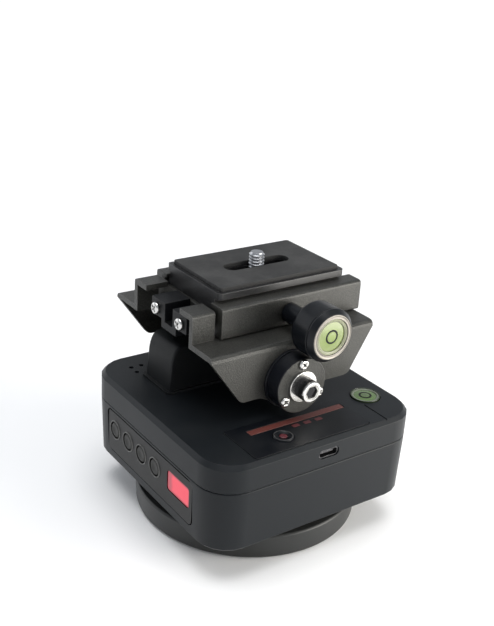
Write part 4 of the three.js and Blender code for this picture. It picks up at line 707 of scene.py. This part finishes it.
def soften(piece: bpy.types.Object, width: float, segments: int) -> None:
    """Rounds a piece's edges with modifiers and evens its shading.

    Args:
        piece: The object.
        width: The edge's width in millimetres; zero leaves the edges.
        segments: The number of steps over the edge.
    """
    if width:
        edge = piece.modifiers.new("edge", "BEVEL")
        edge.width = width * MM
        edge.segments = segments
        edge.profile = 0.5
        edge.limit_method = "ANGLE"
        edge.angle_limit = math.radians(EDGE_ANGLE)
        edge.miter_outer = "MITER_ARC"
        edge.use_clamp_overlap = True
        clean = piece.modifiers.new("clean", "WELD")
        clean.merge_threshold = DOUBLE * MM
    even = piece.modifiers.new("even", "WEIGHTED_NORMAL")
    even.weight = 60
    even.keep_sharp = not width
    piece.data.shade_smooth()


@dataclass(frozen=True)
class Seat:
    """Where a piece goes: its placing matrix, its body and its material slot."""

    place: Matrix
    body: Body
    slot: str

    def add(self, name: str, mesh: Mesh, look: Look, stands_for: Sequence[str] = (), edge: float =
            0.0, segments: int = 2) -> None:
        """Makes a mesh into a finished piece of the model.

        Args:
            name: The piece's name.
            mesh: The mesh in its local frame, in metres; it is freed.
            look: Its finish.
            stands_for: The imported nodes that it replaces.
            edge: The width of its rounded edges in millimetres.
            segments: The number of steps over an edge.
        """
        bmesh.ops.transform(mesh, matrix=self.place, verts=mesh.verts)
        piece = linked(name, mesh)
        piece.data.materials.append(look.build())
        if not edge:
            piece.data.set_sharp_from_angle(angle=math.radians(SHARP_ANGLE))
        soften(piece, edge, segments)
        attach(piece, self.body.value)
        if stands_for:
            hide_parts(*stands_for)
        log.info("piece %s, on body %s", name, self.body.value)


def dress(names: Iterable[str], look: Look, edge: float = 0.25, segments: int = 2) -> None:
    """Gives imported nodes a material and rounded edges.

    Args:
        names: The nodes' names.
        look: Their finish.
        edge: The width of their rounded edges in millimetres.
        segments: The number of steps over an edge.
    """
    for name in names:
        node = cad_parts[name]
        node.data.materials.clear()
        node.data.materials.append(look.build())
        joined = node.modifiers.new("joined", "WELD")
        joined.merge_threshold = SLIVER * MM
        merged = node.modifiers.new("merged", "DECIMATE")
        merged.decimate_type = "DISSOLVE"
        merged.angle_limit = math.radians(FLAT_ANGLE)
        soften(node, edge, segments)
        log.info("node %s, in %s", name, look.name)


def middle_of(name: str) -> Point:
    """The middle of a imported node's box, in millimetres."""
    low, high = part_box(name)
    return tuple((low + high) / 2 / MM)


# Sub-assemblies


@dataclass
class CrossScrew:
    """A pan head screw with a cross recess."""

    head_radius: float
    head_height: float
    shank_radius: float
    reach: float

    def mesh(self) -> Mesh:
        """Builds the screw, its seat at height zero and its head above.

        Returns:
            The mesh.
        """
        radius, height = self.head_radius, self.head_height
        dome = [(radius * (0.55 + 0.45 * cosine), height * (0.45 + 0.55 * sine))
            for sine, cosine in quarter_turn(6)]
        body = turned([(0, -self.reach), (self.shank_radius, -self.reach), (self.shank_radius, 0),
            (radius, 0)] + dome + [(0, height)], Steps.DOT)
        cross = slab(self.cross(), height * 0.25, height * 1.6)
        lower = [vert for vert in cross.verts if vert.co.z < height * 0.5 * MM]
        bmesh.ops.scale(cross, vec=(0.86, 0.86, 1.0), verts=lower)
        return carved(body, cross)

    def cross(self) -> list[tuple[float, float]]:
        """The outline of the cross recess.

        Returns:
            The outline's points.
        """
        arm, half = self.head_radius * 0.68, self.head_radius * 0.19
        inner, tip = half * 1.35, half * 0.8
        outline = []
        for quarter in range(4):
            angle = (quarter + 0.5) * math.pi / 2
            for x, y in ((inner, -half), (arm, -tip), (arm, tip), (inner, half)):
                outline.append((x * math.cos(angle) - y * math.sin(angle),
                    x * math.sin(angle) + y * math.cos(angle)))
        return outline

    def add(self, node: str, seat: Seat) -> None:
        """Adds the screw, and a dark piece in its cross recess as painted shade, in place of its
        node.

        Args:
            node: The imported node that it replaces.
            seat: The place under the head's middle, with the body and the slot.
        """
        seat.add(f"{node}_fine", self.mesh(), NICKEL, [node], edge=0.05, segments=1)
        # a dark slab down in the cross: painted shade, not the screw's own colour
        floor = slab(self.cross(), self.head_height * 0.2, self.head_height * 0.42)
        bmesh.ops.scale(floor, vec=(0.9, 0.9, 1.0), verts=floor.verts)
        seat.add(f"{node}_recess", floor, PAINTED_RECESS_SHADE)


@dataclass
class BaseDisc:
    """The round base with its hub, and the rubber ring, bush, race, gear and nut on it."""

    radius: float = 46.0
    foot_radius: float = 45.4
    top: float = 10.7
    underside: float = 0.4
    edge: float = 0.7
    boss_radius: float = 38.0
    boss_top: float = 13.9
    boss_fillet: float = 0.4
    shoulder_radius: float = 12.0
    shoulder_top: float = 15.2
    hub_radius: float = 10.0
    hub_top: float = 30.0
    hub_bore: float = 5.3
    ring_inner: float = 30.0
    ring_outer: float = 42.0
    ring_top: float = 1.6
    bush_radius: float = 7.8
    bush_top: float = 9.7
    flange_radius: float = 9.8
    flange_top: float = 2.1

    def build(self) -> None:
        """Spins the disc anew and dresses what it carries."""
        under, edge, fillet = self.underside, self.edge, self.boss_fillet
        profile = [(self.flange_radius, under), (self.ring_inner, under),
            (self.ring_inner, self.ring_top), (self.ring_outer, self.ring_top),
            (self.ring_outer, under), (self.foot_radius - edge, under),
            (self.foot_radius, under + edge), (self.radius, self.top - edge),
            (self.radius - edge, self.top), (self.boss_radius + fillet, self.top),
            (self.boss_radius, self.top + fillet), (self.boss_radius, self.boss_top),
            (self.shoulder_radius, self.boss_top), (self.shoulder_radius, self.shoulder_top),
            (self.hub_radius, self.shoulder_top), (self.hub_radius, self.hub_top),
            (self.hub_bore, self.hub_top), (self.hub_bore, self.bush_top),
            (self.bush_radius, self.bush_top), (self.bush_radius, self.flange_top),
            (self.flange_radius, self.flange_top)]
        seat = Seat(Matrix(), Body.BASE, "base_black")
        seat.add("base_disc_turned", turned(profile, Steps.DISC), BASE_BLACK, ["base_disc"],
            edge=0.25)
        dress(["rubber_ring"], RUBBER, 0.2)
        dress(["stand_bush"], BRASS, 0.15)
        dress(["bearing_inner", "hub_nut"], STEEL, 0.15)
        dress(["pan_gear"], GEAR, 0)


@dataclass
class Housing:
    """The two shells, the tower, and what they hold."""

    shell_edge: float = 0.45
    tower_edge: float = 0.5

    def build(self) -> None:
        """Dresses the shells, the tower and the inner pieces."""
        dress(["lower_shell", "upper_shell"], HOUSING, self.shell_edge, 3)
        # the tower gets a darker copy of the housing's plastic, a painted shadow
        dress(["tilt_tower"], TOWER_PAINTED_SHADE, self.tower_edge, 3)
        dress(["bearing_outer", "pan_motor", "tilt_motor"], STEEL, 0.1)
        dress([f"case_screw_{number}" for number in range(1, 5)], STEEL, 0.1)
        dress(["charge_socket"], SOCKET, 0.08)
        dress(["pan_pinion", "tilt_pinion"], BRASS, 0)
        dress(["tilt_bush_left", "tilt_bush_right"], BRASS, 0.15)
        dress(["main_board", "button_board"], BOARD, 0)
        dress(["cell_lower", "cell_upper"], CELL, 0.3)


@dataclass
class FrontPanel:
    """The recessed plate with four ringed buttons and the lit window."""

    face: float = -47.05
    packed_face: float = -46.5
    corner: float = 2.2
    gap: float = 0.15
    top_gap: float = 0.5
    hole_radius: float = 3.66
    flange_radius: float = 4.6
    flange: float = 0.8
    cap_radius: float = 3.2
    cap_round: float = 0.6
    proud: float = 0.7
    ring_inner: float = 3.68
    ring_outer: float = 4.12
    ring_rise: float = 0.36
    window_half: tuple[float, float] = (7.75, 4.25)
    window_gap: float = 0.1
    window_corner: float = 1.45

    def build(self) -> None:
        """Builds the plate, the buttons and their rings, and dresses the window."""
        self.plate()
        for body in BUTTONS:
            self.button(body)
        window = LitGlass("window_lit_red", (0.88, 0.034, 0.080), (0.44, 0.030, 0.060),
            (0.34, 0.010, 0.028), (0.08, 0.004, 0.006), middle_of("display_window"),
            self.window_half)
        dress(["display_window"], window, 0.3, 3)

    def seat(self, x: float, y: float, z: float, body: Body = Body.HEAD) -> Seat:
        """A place that faces front."""
        return Seat(Facing.FRONT.matrix(x, y, z), body, "panel_black")

    def plate(self) -> None:
        """Builds the plate with its four holes and the opening of the window."""
        low, high = (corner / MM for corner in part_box("front_panel"))
        x, _, z = middle_of("front_panel")
        depth = high[1] - self.packed_face
        across, upward = high[0] - low[0], high[2] - low[2]
        outline = [(at, min(rise, upward / 2 - self.top_gap))
            for at, rise in rounded_outline(across - self.gap, upward - self.gap, self.corner)]
        plate = slab(outline, -depth, self.packed_face - self.face)
        foot, end = -depth - OVERRUN, 2 * OVERRUN
        cutters = {body.value: turned([(0, foot), (self.hole_radius, foot),
            (self.hole_radius, end), (0, end)], Steps.BUTTON) for body in BUTTONS}
        width, height = (2 * half + self.window_gap for half in self.window_half)
        opening = rounded_outline(width, height, self.window_corner)
        cutters["display_window"] = slab(opening, foot, end)
        for name, cutter in cutters.items():
            at, _, rise = middle_of(name)
            bmesh.ops.translate(cutter, vec=Vector((at - x, rise - z, 0)) * MM, verts=cutter.verts)
            plate = carved(plate, cutter)
        self.seat(x, self.packed_face, z).add("front_panel_plate", plate, PANEL, ["front_panel"],
            edge=0.12)

    def button(self, body: Body) -> None:
        """Builds one soft-edged button inside its thin raised ring.

        Args:
            body: The button's body, which has the name of its node.
        """
        x, _, z = middle_of(body.value)
        low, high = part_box(body.value)
        top, cap_round = self.proud, self.cap_round
        foot = top - (high - low)[1] / MM
        shoulder = [(self.cap_radius - cap_round * (1 - cosine),
            top - cap_round + cap_round * sine) for sine, cosine in quarter_turn(5)]
        dish = [(1.9, top - 0.02), (1.3, top - 0.12), (0.7, top - 0.19), (0, top - 0.22)]
        cap = turned([(0, foot), (self.flange_radius, foot),
            (self.flange_radius, foot + self.flange), (self.cap_radius, foot + self.flange)]
            + shoulder + dish, Steps.BUTTON)
        self.seat(x, self.packed_face, z, body).add(f"{body.value}_cap", cap, BUTTON,
            [body.value])
        inner, outer, rise = self.ring_inner, self.ring_outer, self.ring_rise
        ring = turned([(inner, -0.2), (outer + 0.12, -0.2), (outer, 0.08),
            (outer - 0.06, rise - 0.1), (outer - 0.18, rise), (inner + 0.1, rise),
            (inner, rise - 0.1)], Steps.BUTTON)
        self.seat(x, self.face, z).add(f"{body.value}_ring", ring, BUTTON_RING)


@dataclass
class VialFace:
    """A vial's liquid with a domed top, a black circle on it and the bubble under it."""

    radius: float
    low: float
    top: float
    circle_radius: float
    half_line: float
    bubble: Finish
    dome: float = 0.3

    def height(self, reach: float) -> float:
        """The dome's height at a distance from its middle, in millimetres."""
        return self.top + self.dome * (1 - (reach / self.radius) ** 2)

    def build(self, name: str, seat: Seat, liquid: Liquid, stands_for: Sequence[str] = ()) -> None:
        """Builds the three pieces.

        Args:
            name: The start of the pieces' names.
            seat: Where they go.
            liquid: The liquid's finish.
            stands_for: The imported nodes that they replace.
        """
        reaches = [self.radius * (1 - step / 10) for step in range(1, 10)]
        fill = turned([(0, self.low), (self.radius, self.low), (self.radius, self.top)]
            + [(reach, self.height(reach)) for reach in reaches] + [(0, self.top + self.dome)],
            Steps.VIAL)
        seat.add(f"{name}_liquid", fill, liquid, stands_for)
        inner, outer = self.circle_radius - self.half_line, self.circle_radius + self.half_line
        line = turned([(inner, self.height(inner) - 0.05), (inner, self.height(inner) + 0.03),
            (outer, self.height(outer) + 0.03), (outer, self.height(outer) - 0.05)], Steps.LINE)
        seat.add(f"{name}_circle", line, VIAL_LINE)
        reach, peak = self.circle_radius * 0.62, self.height(0)
        bubble = turned([(0, peak - 0.05), (reach, self.height(reach) - 0.05),
            (reach, self.height(reach) + 0.01), (reach * 0.6, peak + 0.04), (0, peak + 0.05)],
            Steps.DOT)
        seat.add(f"{name}_bubble", bubble, self.bubble)


@dataclass
class TopDeck:
    """The control label with its bar, lamps and power button, and the round level."""

    label_top: float = 50.4
    lamp_size: tuple[float, float] = (1.8, 3.0)
    lamp_corner: float = 0.2
    lamp_height: float = 0.06
    lamp_places: tuple[tuple[float, float], ...] = ((34.2, -3.6), (34.3, 1.7), (34.4, 7.0))
    power_flange: float = 4.9
    power_radius: float = 3.9
    level_top: float = 50.7
    level_radius: float = 6.0
    level_rim: float = 0.35

    def build(self) -> None:
        """Dresses the label and builds the small pieces on the deck."""
        dress(["label_panel"], LABEL, 0.12)
        dress(["light_bar"], LIGHT_BAR, 0.1)
        for number, (x, y) in enumerate(self.lamp_places, 1):
            lamp = slab(rounded_outline(*self.lamp_size, self.lamp_corner, 3), 0, self.lamp_height)
            seat = Seat(Facing.UP.matrix(x, y, self.label_top), Body.HEAD, "bar_red")
            seat.add(f"label_lamp_{number}", lamp, INDICATOR)
        self.power()
        self.level()

    def power(self) -> None:
        """Builds the power button, its pale ring and its red dot."""
        low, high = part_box("power_button")
        x, y, _ = middle_of("power_button")
        foot, top = low[2] / MM, high[2] / MM
        place = Facing.UP.matrix(x, y, 0)
        seat = Seat(place, Body.POWER, "panel_black")
        flange, radius = self.power_flange, self.power_radius
        cap = turned([(0, foot), (flange, foot), (flange, foot + 0.8), (radius, foot + 0.8),
            (radius, top - 0.35), (3.6, top), (3.2, top), (2.9, top - 0.2), (1.8, top - 0.28),
            (1.8, top - 0.8), (0, top - 0.8)], Steps.BUTTON)
        seat.add("power_button_cap", cap, LABEL, ["power_button"], edge=0.06)
        ring = turned([(3.25, top - 0.12), (3.65, top - 0.12), (3.58, top + 0.02),
            (3.32, top + 0.02)], Steps.BUTTON)
        seat.add("power_button_ring", ring, PRINTED_GREY)
        dot = turned([(0, top - 0.8), (1.5, top - 0.8), (1.5, top - 0.25), (1.3, top - 0.15),
            (0.7, top - 0.06), (0, top - 0.03)], Steps.DOT)
        Seat(place, Body.POWER, "window_red").add("power_lens_dome", dot, POWER_DOT,
            ["power_lens"])

    def level(self) -> None:
        """Builds the level's rim, pale ring, liquid, circle and bubble."""
        x, y, _ = middle_of("level_vial")
        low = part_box("level_vial")[0][2] / MM
        seat = Seat(Facing.UP.matrix(x, y, 0), Body.HEAD, "level_green")
        radius, top, wall = self.level_radius, self.level_top, self.level_rim
        rim = turned([(radius - wall, low), (radius, low), (radius, top - 0.15),
            (radius - 0.1, top), (radius - 0.28, top), (radius - wall, top - 0.15)], Steps.VIAL)
        seat.add("level_rim", rim, VIAL_DARK, ["level_vial"])
        outer, inner = radius - 0.38, radius - 1.35
        pale = turned([(inner, low), (outer, low), (outer, top - 0.3), (radius - 0.55, top - 0.15),
            (radius - 1.1, top - 0.2), (inner, top - 0.42)], Steps.VIAL)
        seat.add("level_pale_ring", pale, VIAL_GREEN)
        liquid = Liquid("level_liquid", (0.085, 0.145, 0.04), (0.10, 0.16, 0.06), (x, y, top),
            radius)
        vial = VialFace(radius - 1.4, low, top - 0.5, 2.2, 0.42, LEVEL_BUBBLE)
        vial.build("level", seat, liquid)


@dataclass
class TiltHub:
    """The drum on the right cheek with its screws, washer, axle screw and shaft."""

    axis_y: float = 1.3
    axis_z: float = 63.75
    face: float = 22.0
    length: float = 7.9
    radius: float = 11.2
    bore: float = 2.9
    foot_radius: float = 11.9
    foot_length: float = 1.0
    spigot_radius: float = 4.3
    spigot_depth: float = 4.9
    lip: float = 0.15
    washer_radius: float = 6.2
    washer_bore: float = 2.8
    washer: float = 1.0
    head_radius: float = 4.3
    head_length: float = 5.2
    key_radius: float = 2.7
    key_depth: float = 2.8
    knurls: int = 36
    knurl_depth: float = 0.2
    screw_radius: float = 2.5
    screw_reach: float = 14.0
    shaft_radius: float = 4.0
    shaft_bore: float = 2.6
    shaft_groove: float = 0.6
    clip_half: float = 0.5

    def seat(self, x: float, slot: str) -> Seat:
        """A place on the tilt axis, facing right on the cradle."""
        return Seat(Facing.RIGHT.matrix(x, self.axis_y, self.axis_z), Body.CRADLE, slot)

    def build(self) -> None:
        """Builds the drum and everything on its face."""
        length, radius, foot, end = self.length, self.radius, self.foot_radius, self.foot_length
        on_cheek = self.seat(self.face, "anodised_black")
        drum = turned([(self.spigot_radius, 0), (foot, 0), (foot, end - 0.15), (foot - 0.15, end),
            (radius, end), (radius, length - 0.45), (radius - 0.3, length - self.lip),
            (self.bore, length - self.lip), (self.bore, self.spigot_depth),
            (self.spigot_radius, self.spigot_depth)], Steps.DRUM)
        # the drum's side gets the darker finish, a painted shade; its face keeps the anodised
        # finish
        on_cheek.add("tilt_drum_turned", drum, DRUM_SIDE_PAINTED_SHADE, ["tilt_drum"])
        face = turned([(self.bore, length - 0.2), (radius - 0.1, length - 0.2),
            (radius - 0.35, length), (self.bore, length)], Steps.DRUM)
        on_cheek.add("tilt_drum_face", face, ANODISED, edge=0.06)
        top = self.face + length
        screw = CrossScrew(2.1, 1.2, 0.9, 9.3)
        for node in ("drum_screw_1", "drum_screw_2", "drum_screw_3"):
            _, y, z = middle_of(node)
            screw.add(node, Seat(Facing.RIGHT.matrix(top, y, z), Body.CRADLE, "nickel"))
        washer = turned([(self.washer_bore, 0), (self.washer_radius, 0),
            (self.washer_radius, self.washer), (self.washer_bore, self.washer)], Steps.WASHER)
        self.seat(top, "nickel").add("axle_washer_turned", washer, WASHER, ["axle_washer"],
            edge=0.18, segments=3)
        self.axle(self.seat(top + self.washer, "nickel"))
        self.shaft()

    def axle(self, seat: Seat) -> None:
        """Builds the knurled socket screw.

        Args:
            seat: The place under its head.
        """
        length, radius, key = self.head_length, self.head_radius, self.key_radius
        shank, reach = self.screw_radius, self.screw_reach
        barrel = slab(toothed_outline(radius, self.knurls, self.knurl_depth), 0, length - 0.9)
        seat.add("axle_screw_barrel", barrel, SCREW_BLACK, ["axle_screw"])
        core = turned([(0, -reach), (shank, -reach), (shank, 0.2), (radius - 0.3, 0.2),
            (radius - 0.3, length - 0.5), (radius - 0.8, length - 0.1), (0, length - 0.1)],
            Steps.VIAL)
        hexagon = [(key * math.cos(step * math.pi / 3), key * math.sin(step * math.pi / 3))
            for step in range(6)]
        socket = slab(hexagon, length - self.key_depth, length + OVERRUN)
        seat.add("axle_screw_core", carved(core, socket), SOCKET_GREY, edge=0.08)
        ring = turned([(key + 0.35, length - 0.3), (radius - 0.1, length - 0.9),
            (radius - 0.1, length - 0.35), (radius - 0.35, length - 0.05), (radius - 0.7, length),
            (key + 0.45, length), (key + 0.3, length - 0.12)], Steps.WASHER)
        seat.add("axle_screw_ring", ring, NICKEL)

    def shaft(self) -> None:
        """Builds the tilt shaft with its centre hole, clip groove and screw bore."""
        low, high = (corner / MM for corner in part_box("tilt_shaft"))
        clip, half = middle_of("shaft_clip")[0], self.clip_half
        radius, bore = self.shaft_radius, self.shaft_bore
        root = radius - self.shaft_groove
        shaft = turned([(0, low[0] + 1.4), (1.2, low[0] + 0.2), (1.5, low[0]),
            (radius - 0.5, low[0]), (radius, low[0] + 0.5), (radius, clip - half),
            (root, clip - half), (root, clip + half), (radius, clip + half), (radius, high[0]),
            (bore, high[0]), (bore, high[0] - 13), (0, high[0] - 14)], Steps.VIAL)
        self.seat(0, "steel").add("tilt_shaft_turned", shaft, SHAFT_STEEL, ["tilt_shaft"])


@dataclass
class Cradle:
    """The bent sheet cradle, the front guide, the clamp and the plate."""

    guide_front: float = -34.3
    sheet_edge: float = 0.3
    head_radius: float = 7.0
    head_height: float = 2.4
    head_bevel: float = 0.3
    half_slot: float = 0.8
    slot_depth: float = 1.2
    thread_radius: float = 3.1
    thread_root: float = 2.6
    thread_pitch: float = 1.27
    thread_turns: int = 6

    def build(self) -> None:
        """Dresses the sheet and the clamp's blocks, and builds their screws."""
        dress(["cradle"], ANODISED, self.sheet_edge)
        dress(["clamp_body", "moving_jaw"], ANODISED)
        # the front guide's darker finish is a painted shadow
        dress(["front_guide"], GUIDE_PAINTED_SHADE)
        dress(["quick_plate"], PLATE)
        dress(["plate_pad"], RUBBER, 0.3)
        dress(["shaft_clip", "clamp_screw_1", "clamp_screw_2", "knob_screw", "screw_carrier"],
            STEEL, 0.1)
        dress(["tilt_gear"], BRASS, 0)
        self.camera_screw()
        screw = CrossScrew(2.4, 1.7, 1.4, 6.8)
        for node in ("stop_screw_1", "stop_screw_2"):
            x, _, z = middle_of(node)
            place = Facing.FRONT.matrix(x, self.guide_front, z)
            screw.add(node, Seat(place, Body.CRADLE, "nickel"))

    def camera_screw(self) -> None:
        """Builds the camera screw: a slotted head, a shank and the thread over the pad."""
        low, high = (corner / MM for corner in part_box("camera_screw"))
        x, y, _ = middle_of("camera_screw")
        foot, tip = low[2], high[2]
        radius, root, head, rim = (self.thread_radius, self.thread_root, self.head_height,
            self.head_radius)
        thread = []
        for turn in range(self.thread_turns, 0, -1):
            start = tip - 0.55 - turn * self.thread_pitch
            thread += [(root, start + 0.1), (radius, start + 0.52), (radius, start + 0.76),
                (root, start + 1.17)]
        bevel, half, end = self.head_bevel, self.half_slot, rim + OVERRUN
        profile = ([(0, foot), (rim - bevel, foot), (rim, foot + bevel),
            (rim, foot + head - bevel), (rim - bevel, foot + head), (radius, foot + head),
            (radius, thread[0][1] - 0.3)] + thread + [(root - 0.2, tip - 0.1), (root - 0.4, tip),
            (0, tip)])
        slot = slab([(-end, -half), (end, -half), (end, half), (-end, half)], foot - OVERRUN,
            foot + self.slot_depth)
        seat = Seat(Facing.UP.matrix(x, y, 0), Body.CAMERA_SCREW, "steel")
        seat.add("camera_screw_turned", carved(turned(profile, Steps.BUTTON), slot), STEEL,
            ["camera_screw"])


@dataclass
class Knob:
    """The clamp knob: a smooth barrel, a bright ring and a vial in its end."""

    axis_y: float = 8.0
    axis_z: float = 85.1
    neck_left: float = 10.75
    neck_radius: float = 4.0
    back: float = 24.3
    back_round: float = 2.0
    front: float = 35.0
    radius: float = 10.5
    groove: float = 0.25
    end: float = 37.0
    end_radius: float = 8.7
    pocket_radius: float = 6.5
    pocket_depth: float = 2.0
    vial_radius: float = 6.2
    vial_depth: float = 4.0
    cup_radius: float = 7.1
    cup_depth: float = 1.2
    rim_bore: float = 5.9

    def build(self) -> None:
        """Builds the barrel, the ring and the vial."""
        place = Facing.RIGHT.matrix(0, self.axis_y, self.axis_z)
        black = Seat(place, Body.KNOB, "anodised_black")
        black.add("clamp_knob_barrel", self.barrel(), KNOB_BLACK, ["clamp_knob"], edge=0.1)
        black.add("clamp_knob_ring", self.ring(), KNOB_RING, edge=0.08)
        vial = Seat(place, Body.KNOB, "knob_level")
        vial.add("knob_vial_rim", self.rim(), VIAL_PALE)
        liquid = Liquid("knob_liquid", (0.15, 0.21, 0.04), (0.19, 0.24, 0.075),
            (self.end, self.axis_y, self.axis_z), self.vial_radius)
        face = VialFace(self.vial_radius - 0.35, self.end - self.vial_depth, self.end - 0.95, 2.45,
            0.36, KNOB_BUBBLE)
        face.build("knob_vial", vial, liquid, ["knob_vial"])

    def barrel(self) -> Mesh:
        """Turns the neck, the round back, the groove and the cone to the end face.

        Returns:
            The mesh.
        """
        radius, front, end, face = self.radius, self.front, self.end, self.end_radius
        bend, pocket, neck = self.back_round, self.pocket_radius, self.neck_radius
        back = [(radius - bend + bend * sine, self.back + bend - bend * cosine)
            for sine, cosine in quarter_turn(8)]
        groove = [(radius, front - 1.1), (radius - self.groove, front - 1.0),
            (radius - self.groove, front - 0.75), (radius, front - 0.65)]
        return turned([(0, self.neck_left), (neck, self.neck_left), (neck, self.back)] + back
            + groove + [(radius, front), (face + 0.45, end - 0.25), (face + 0.3, end - 0.1),
            (face + 0.05, end - 0.1), (face + 0.05, front), (pocket, front),
            (pocket, front - self.pocket_depth), (0, front - self.pocket_depth)], Steps.DRUM)

    def ring(self) -> Mesh:
        """Turns the bare ring with its two lips.

        Returns:
            The mesh.
        """
        face, end, cup, pocket = self.end_radius, self.end, self.cup_radius, self.pocket_radius
        return turned([(pocket, self.front - 0.1), (face + 0.1, self.front - 0.1),
            (face + 0.1, end - 0.15), (face - 0.1, end), (face - 0.3, end),
            (face - 0.45, end - 0.16), (cup + 0.5, end - 0.2), (cup + 0.38, end - 0.04),
            (cup + 0.2, end - 0.02), (cup + 0.05, end - 0.25), (cup + 0.05, end - self.cup_depth),
            (pocket, end - self.cup_depth)], Steps.DRUM)

    def rim(self) -> Mesh:
        """Turns the vial's pale rim with its inner groove.

        Returns:
            The mesh.
        """
        cup, end, bore = self.cup_radius, self.end, self.rim_bore
        return turned([(bore, end - 1.15), (cup, end - 1.15), (cup, end - 0.45),
            (cup - 0.2, end - 0.3), (cup - 0.45, end - 0.32), (cup - 0.55, end - 0.5),
            (cup - 0.65, end - 0.5), (cup - 0.75, end - 0.34), (bore + 0.25, end - 0.4),
            (bore, end - 0.6)], Steps.WASHER)


# The stage


def bearing(azimuth: float, elevation: float) -> Vector:
    """The direction of a point seen from the part.

    Args:
        azimuth: Its turn from the front to the right in degrees.
        elevation: Its height over the floor in degrees.

    Returns:
        A vector of length one.
    """
    turn, rise = math.radians(azimuth), math.radians(elevation)
    return Vector((math.sin(turn) * math.cos(rise), -math.cos(turn) * math.cos(rise),
        math.sin(rise)))


@dataclass(frozen=True)
class Sun:
    """A far soft lamp; its level is the light on a white surface that faces it."""

    name: str
    azimuth: float
    elevation: float
    level: float
    color: Color


@dataclass
class Studio:
    """The pale floor, soft lamps, the world and the camera; the softbox is in metres."""

    azimuth: float = 53.965
    elevation: float = 23.143
    roll: float = 3.505
    distance: float = 335.94
    target: Point = (26.994, -24.049, 97.388)
    lens: float = 55.459
    sensor: float = 36.0
    floor_size: float = 24.0
    floor_tones: tuple[Color, Color] = ((0.95, 0.95, 0.95), (0.97, 0.97, 0.97))
    suns: tuple[Sun, ...] = (Sun("key", 124.0, 12.0, 0.68, (1.0, 0.97, 0.92)), Sun("fill", -62.0,
        18.0, 0.12, (0.96, 0.98, 1.0)), Sun("top", 0.0, 88.0, 0.56, (1.0, 1.0, 1.0)))
    sun_angle: float = 44.0
    softbox_place: Point = (0.20, 0.17, 0.08)
    softbox_target: Point = (0.03, 0.0, 0.05)
    softbox_size: float = 0.16
    softbox_power: float = 0.40
    softbox_color: Color = (1.0, 0.96, 0.88)
    horizon: float = 6.0
    overhead: float = 22.0
    sky_tones: tuple[Color, Color] = ((1.0, 1.0, 1.0), (0.38, 0.40, 0.43))

    def build(self) -> None:
        """Builds the whole stage."""
        self.camera()
        self.floor()
        self.lamps()
        self.world()

    def camera(self) -> None:
        """Places the camera where the photograph was taken from."""
        back = bearing(self.azimuth, self.elevation)
        roll = math.radians(self.roll)
        right = (-back).cross(Vector((0, 0, 1))).normalized()
        up = right.cross(-back)
        across = math.cos(roll) * right + math.sin(roll) * up
        upward = -math.sin(roll) * right + math.cos(roll) * up
        place = Matrix((across, upward, back)).transposed().to_4x4()
        place.translation = (Vector(self.target) + back * self.distance) * MM
        data = bpy.data.cameras.new("camera")
        data.lens = self.lens
        data.sensor_width = self.sensor
        data.clip_start = 0.01
        camera = bpy.data.objects.new("camera", data)
        camera.matrix_world = place
        bpy.context.scene.collection.objects.link(camera)
        bpy.context.scene.camera = camera

    def floor(self) -> None:
        """Builds the plain floor that the part stands on."""
        mesh = bmesh.new()
        bmesh.ops.create_grid(mesh, x_segments=1, y_segments=1, size=self.floor_size / 2)
        floor = linked("floor", mesh)
        material, graph, shader = new_material("floor_white")
        tone = graph.mix(graph.noise(graph.place(), 8.0, 2.0), *self.floor_tones)
        graph.feed(shader, Base_Color=tone, Roughness=0.9)
        floor.data.materials.append(material)

    def lamps(self) -> None:
        """Lights the part from the right, faintly from the front, and the floor from above."""
        for sun in self.suns:
            data = bpy.data.lights.new(sun.name, "SUN")
            data.energy = sun.level * math.pi
            data.angle = math.radians(self.sun_angle)
            data.color = sun.color
            self.hang(data, bearing(sun.azimuth, sun.elevation), Vector())
        data = bpy.data.lights.new("side", "AREA")
        data.shape = "SQUARE"
        data.size = self.softbox_size
        data.energy = self.softbox_power
        data.color = self.softbox_color
        softbox = self.hang(data, Vector(self.softbox_place), Vector(self.softbox_target))
        softbox.visible_camera = False

    def hang(self, data: bpy.types.Light, place: Vector, target: Vector) -> bpy.types.Object:
        """Adds a lamp that faces a point.

        Args:
            data: The lamp's data.
            place: Its place in metres.
            target: The point that it faces.

        Returns:
            The lamp's object.
        """
        lamp = bpy.data.objects.new(data.name, data)
        lamp.location = place
        lamp.rotation_euler = (target - place).to_track_quat("-Z", "Y").to_euler()
        bpy.context.scene.collection.objects.link(lamp)
        return lamp

    def world(self) -> None:
        """Lights the part softly from all round: pale at the horizon, dimmer overhead."""
        world = bpy.data.worlds.new("studio")
        world.use_nodes = True
        world.node_tree.nodes.clear()
        graph = Graph(world.node_tree)
        split = graph.add("SeparateXYZ", in_0=graph.add("TexCoord").outputs["Generated"])
        share = graph.remap(split.outputs["Z"], math.sin(math.radians(self.horizon)),
            math.sin(math.radians(self.overhead)))
        back = graph.add("Background", Color=graph.mix(share, *self.sky_tones), Strength=1.0)
        graph.add("OutputWorld", Surface=back.outputs[0])
        bpy.context.scene.world = world


def main() -> None:
    """Builds the stage and the part."""
    for assembly in (Studio(), BaseDisc(), Housing(), FrontPanel(), TopDeck(), TiltHub(), Cradle(),
            Knob()):
        log.info("building %s", type(assembly).__name__)
        assembly.build()
    bpy.context.scene.view_settings.view_transform = "Standard"


if __name__ == "__main__":
    main()
